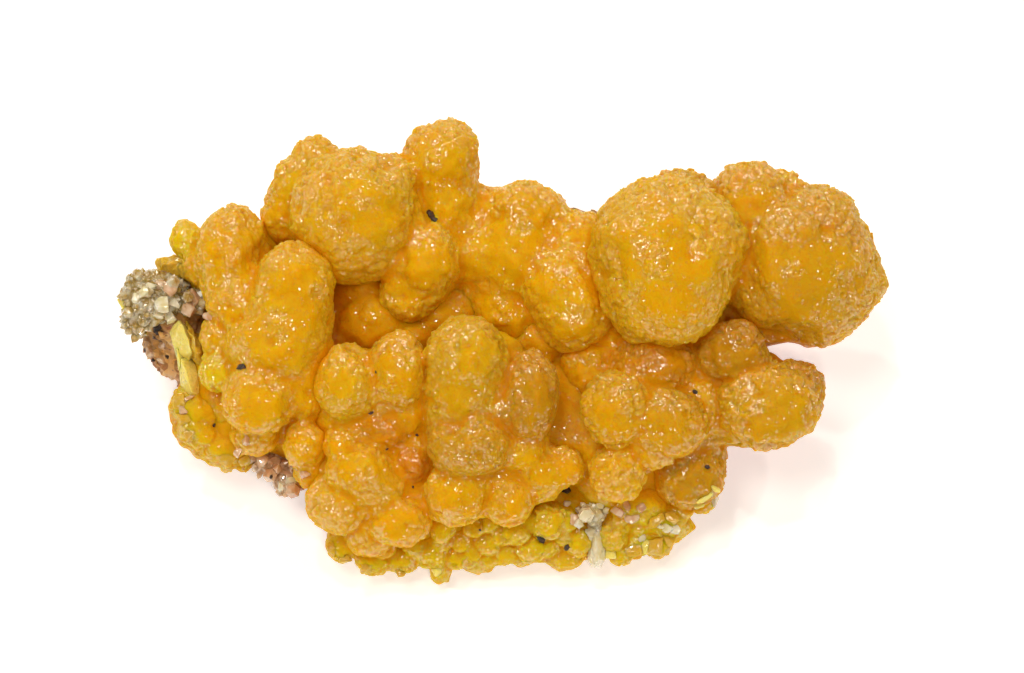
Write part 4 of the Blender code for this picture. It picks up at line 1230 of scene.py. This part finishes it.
def white_paper(name):
    """Matt white paper with a little light behind it: even, with the faintest fibre."""
    material, tree, here = new_material(name)
    fibre = add_node(tree, "ShaderNodeTexNoise", {"Vector": here, "Scale": 1 / (0.8 * MM), "Detail": 2})
    body = {0: fibre, 6: linear("#FAFAF9"), 7: linear("#FDFDFC")}
    body = add_node(tree, "ShaderNodeMix", body, data_type="RGBA")
    finish_material(tree, {
        "Base Color": body.outputs[2], "Roughness": 0.9,
        "Emission Color": linear("#F0F6FF"), "Emission Strength": 0.45,
    })
    return material


bpy.ops.mesh.primitive_plane_add(size=2)
floor = bpy.context.object
floor.name = "floor"
floor.data.materials.append(white_paper("white paper"))

world = bpy.data.worlds.new("studio")
bpy.context.scene.world = world
world.use_nodes = True
studio = world.node_tree.nodes["Background"]
studio.inputs["Color"].default_value = linear("#FFE6C0")
studio.inputs["Strength"].default_value = 0.23

# How far off each lamp is, in metres.
LAMP_DISTANCE = 0.6


def add_lamp(name, direction, size, power):
    """A round lamp that looks at the part from a direction, its size in metres and its power in watts."""
    lamp = bpy.data.lights.new(name, "AREA")
    lamp.shape = "DISK"
    lamp.size = size
    lamp.energy = power
    lamp.color = linear("#FFF6EA")[:3]
    made = bpy.data.objects.new(name, lamp)
    bpy.context.scene.collection.objects.link(made)
    place_from = Vector(direction).normalized() * LAMP_DISTANCE
    made.location = place_from
    made.rotation_mode = "QUATERNION"
    made.rotation_quaternion = place_from.to_track_quat("Z", "Y")


add_lamp("softbox", (-0.2, -0.1, 0.97), 0.16, 0.8)
add_lamp("low fill", (0.35, -0.75, 0.55), 0.16, 0.4)
for number, (direction, power) in enumerate((
    ((-0.3, 0.55, 0.8), 0.5), ((0.35, 0.2, 0.9), 0.4), ((-0.6, -0.1, 0.8), 0.4),
    ((0.1, -0.45, 0.9), 0.4), ((0.1, 0.85, 0.6), 0.4), ((-0.1, 0.15, 1.0), 0.4),
), 1):
    add_lamp(f"spark {number}", direction, 0.03, power)

camera = bpy.data.cameras.new("camera")
camera_piece = bpy.data.objects.new("camera", camera)
bpy.context.scene.collection.objects.link(camera_piece)
camera.lens = LENS
camera.sensor_width = SENSOR
camera.clip_start = 0.01
camera_piece.location = CAMERA_AIM * MM + CAMERA_SIDE * (SEEN_WIDTH * MM) * LENS / SENSOR
camera_piece.rotation_mode = "QUATERNION"
camera_piece.rotation_quaternion = CAMERA_SIDE.to_track_quat("Z", "Y")
bpy.context.scene.camera = camera_piece
bpy.context.scene.view_settings.view_transform = "Standard"
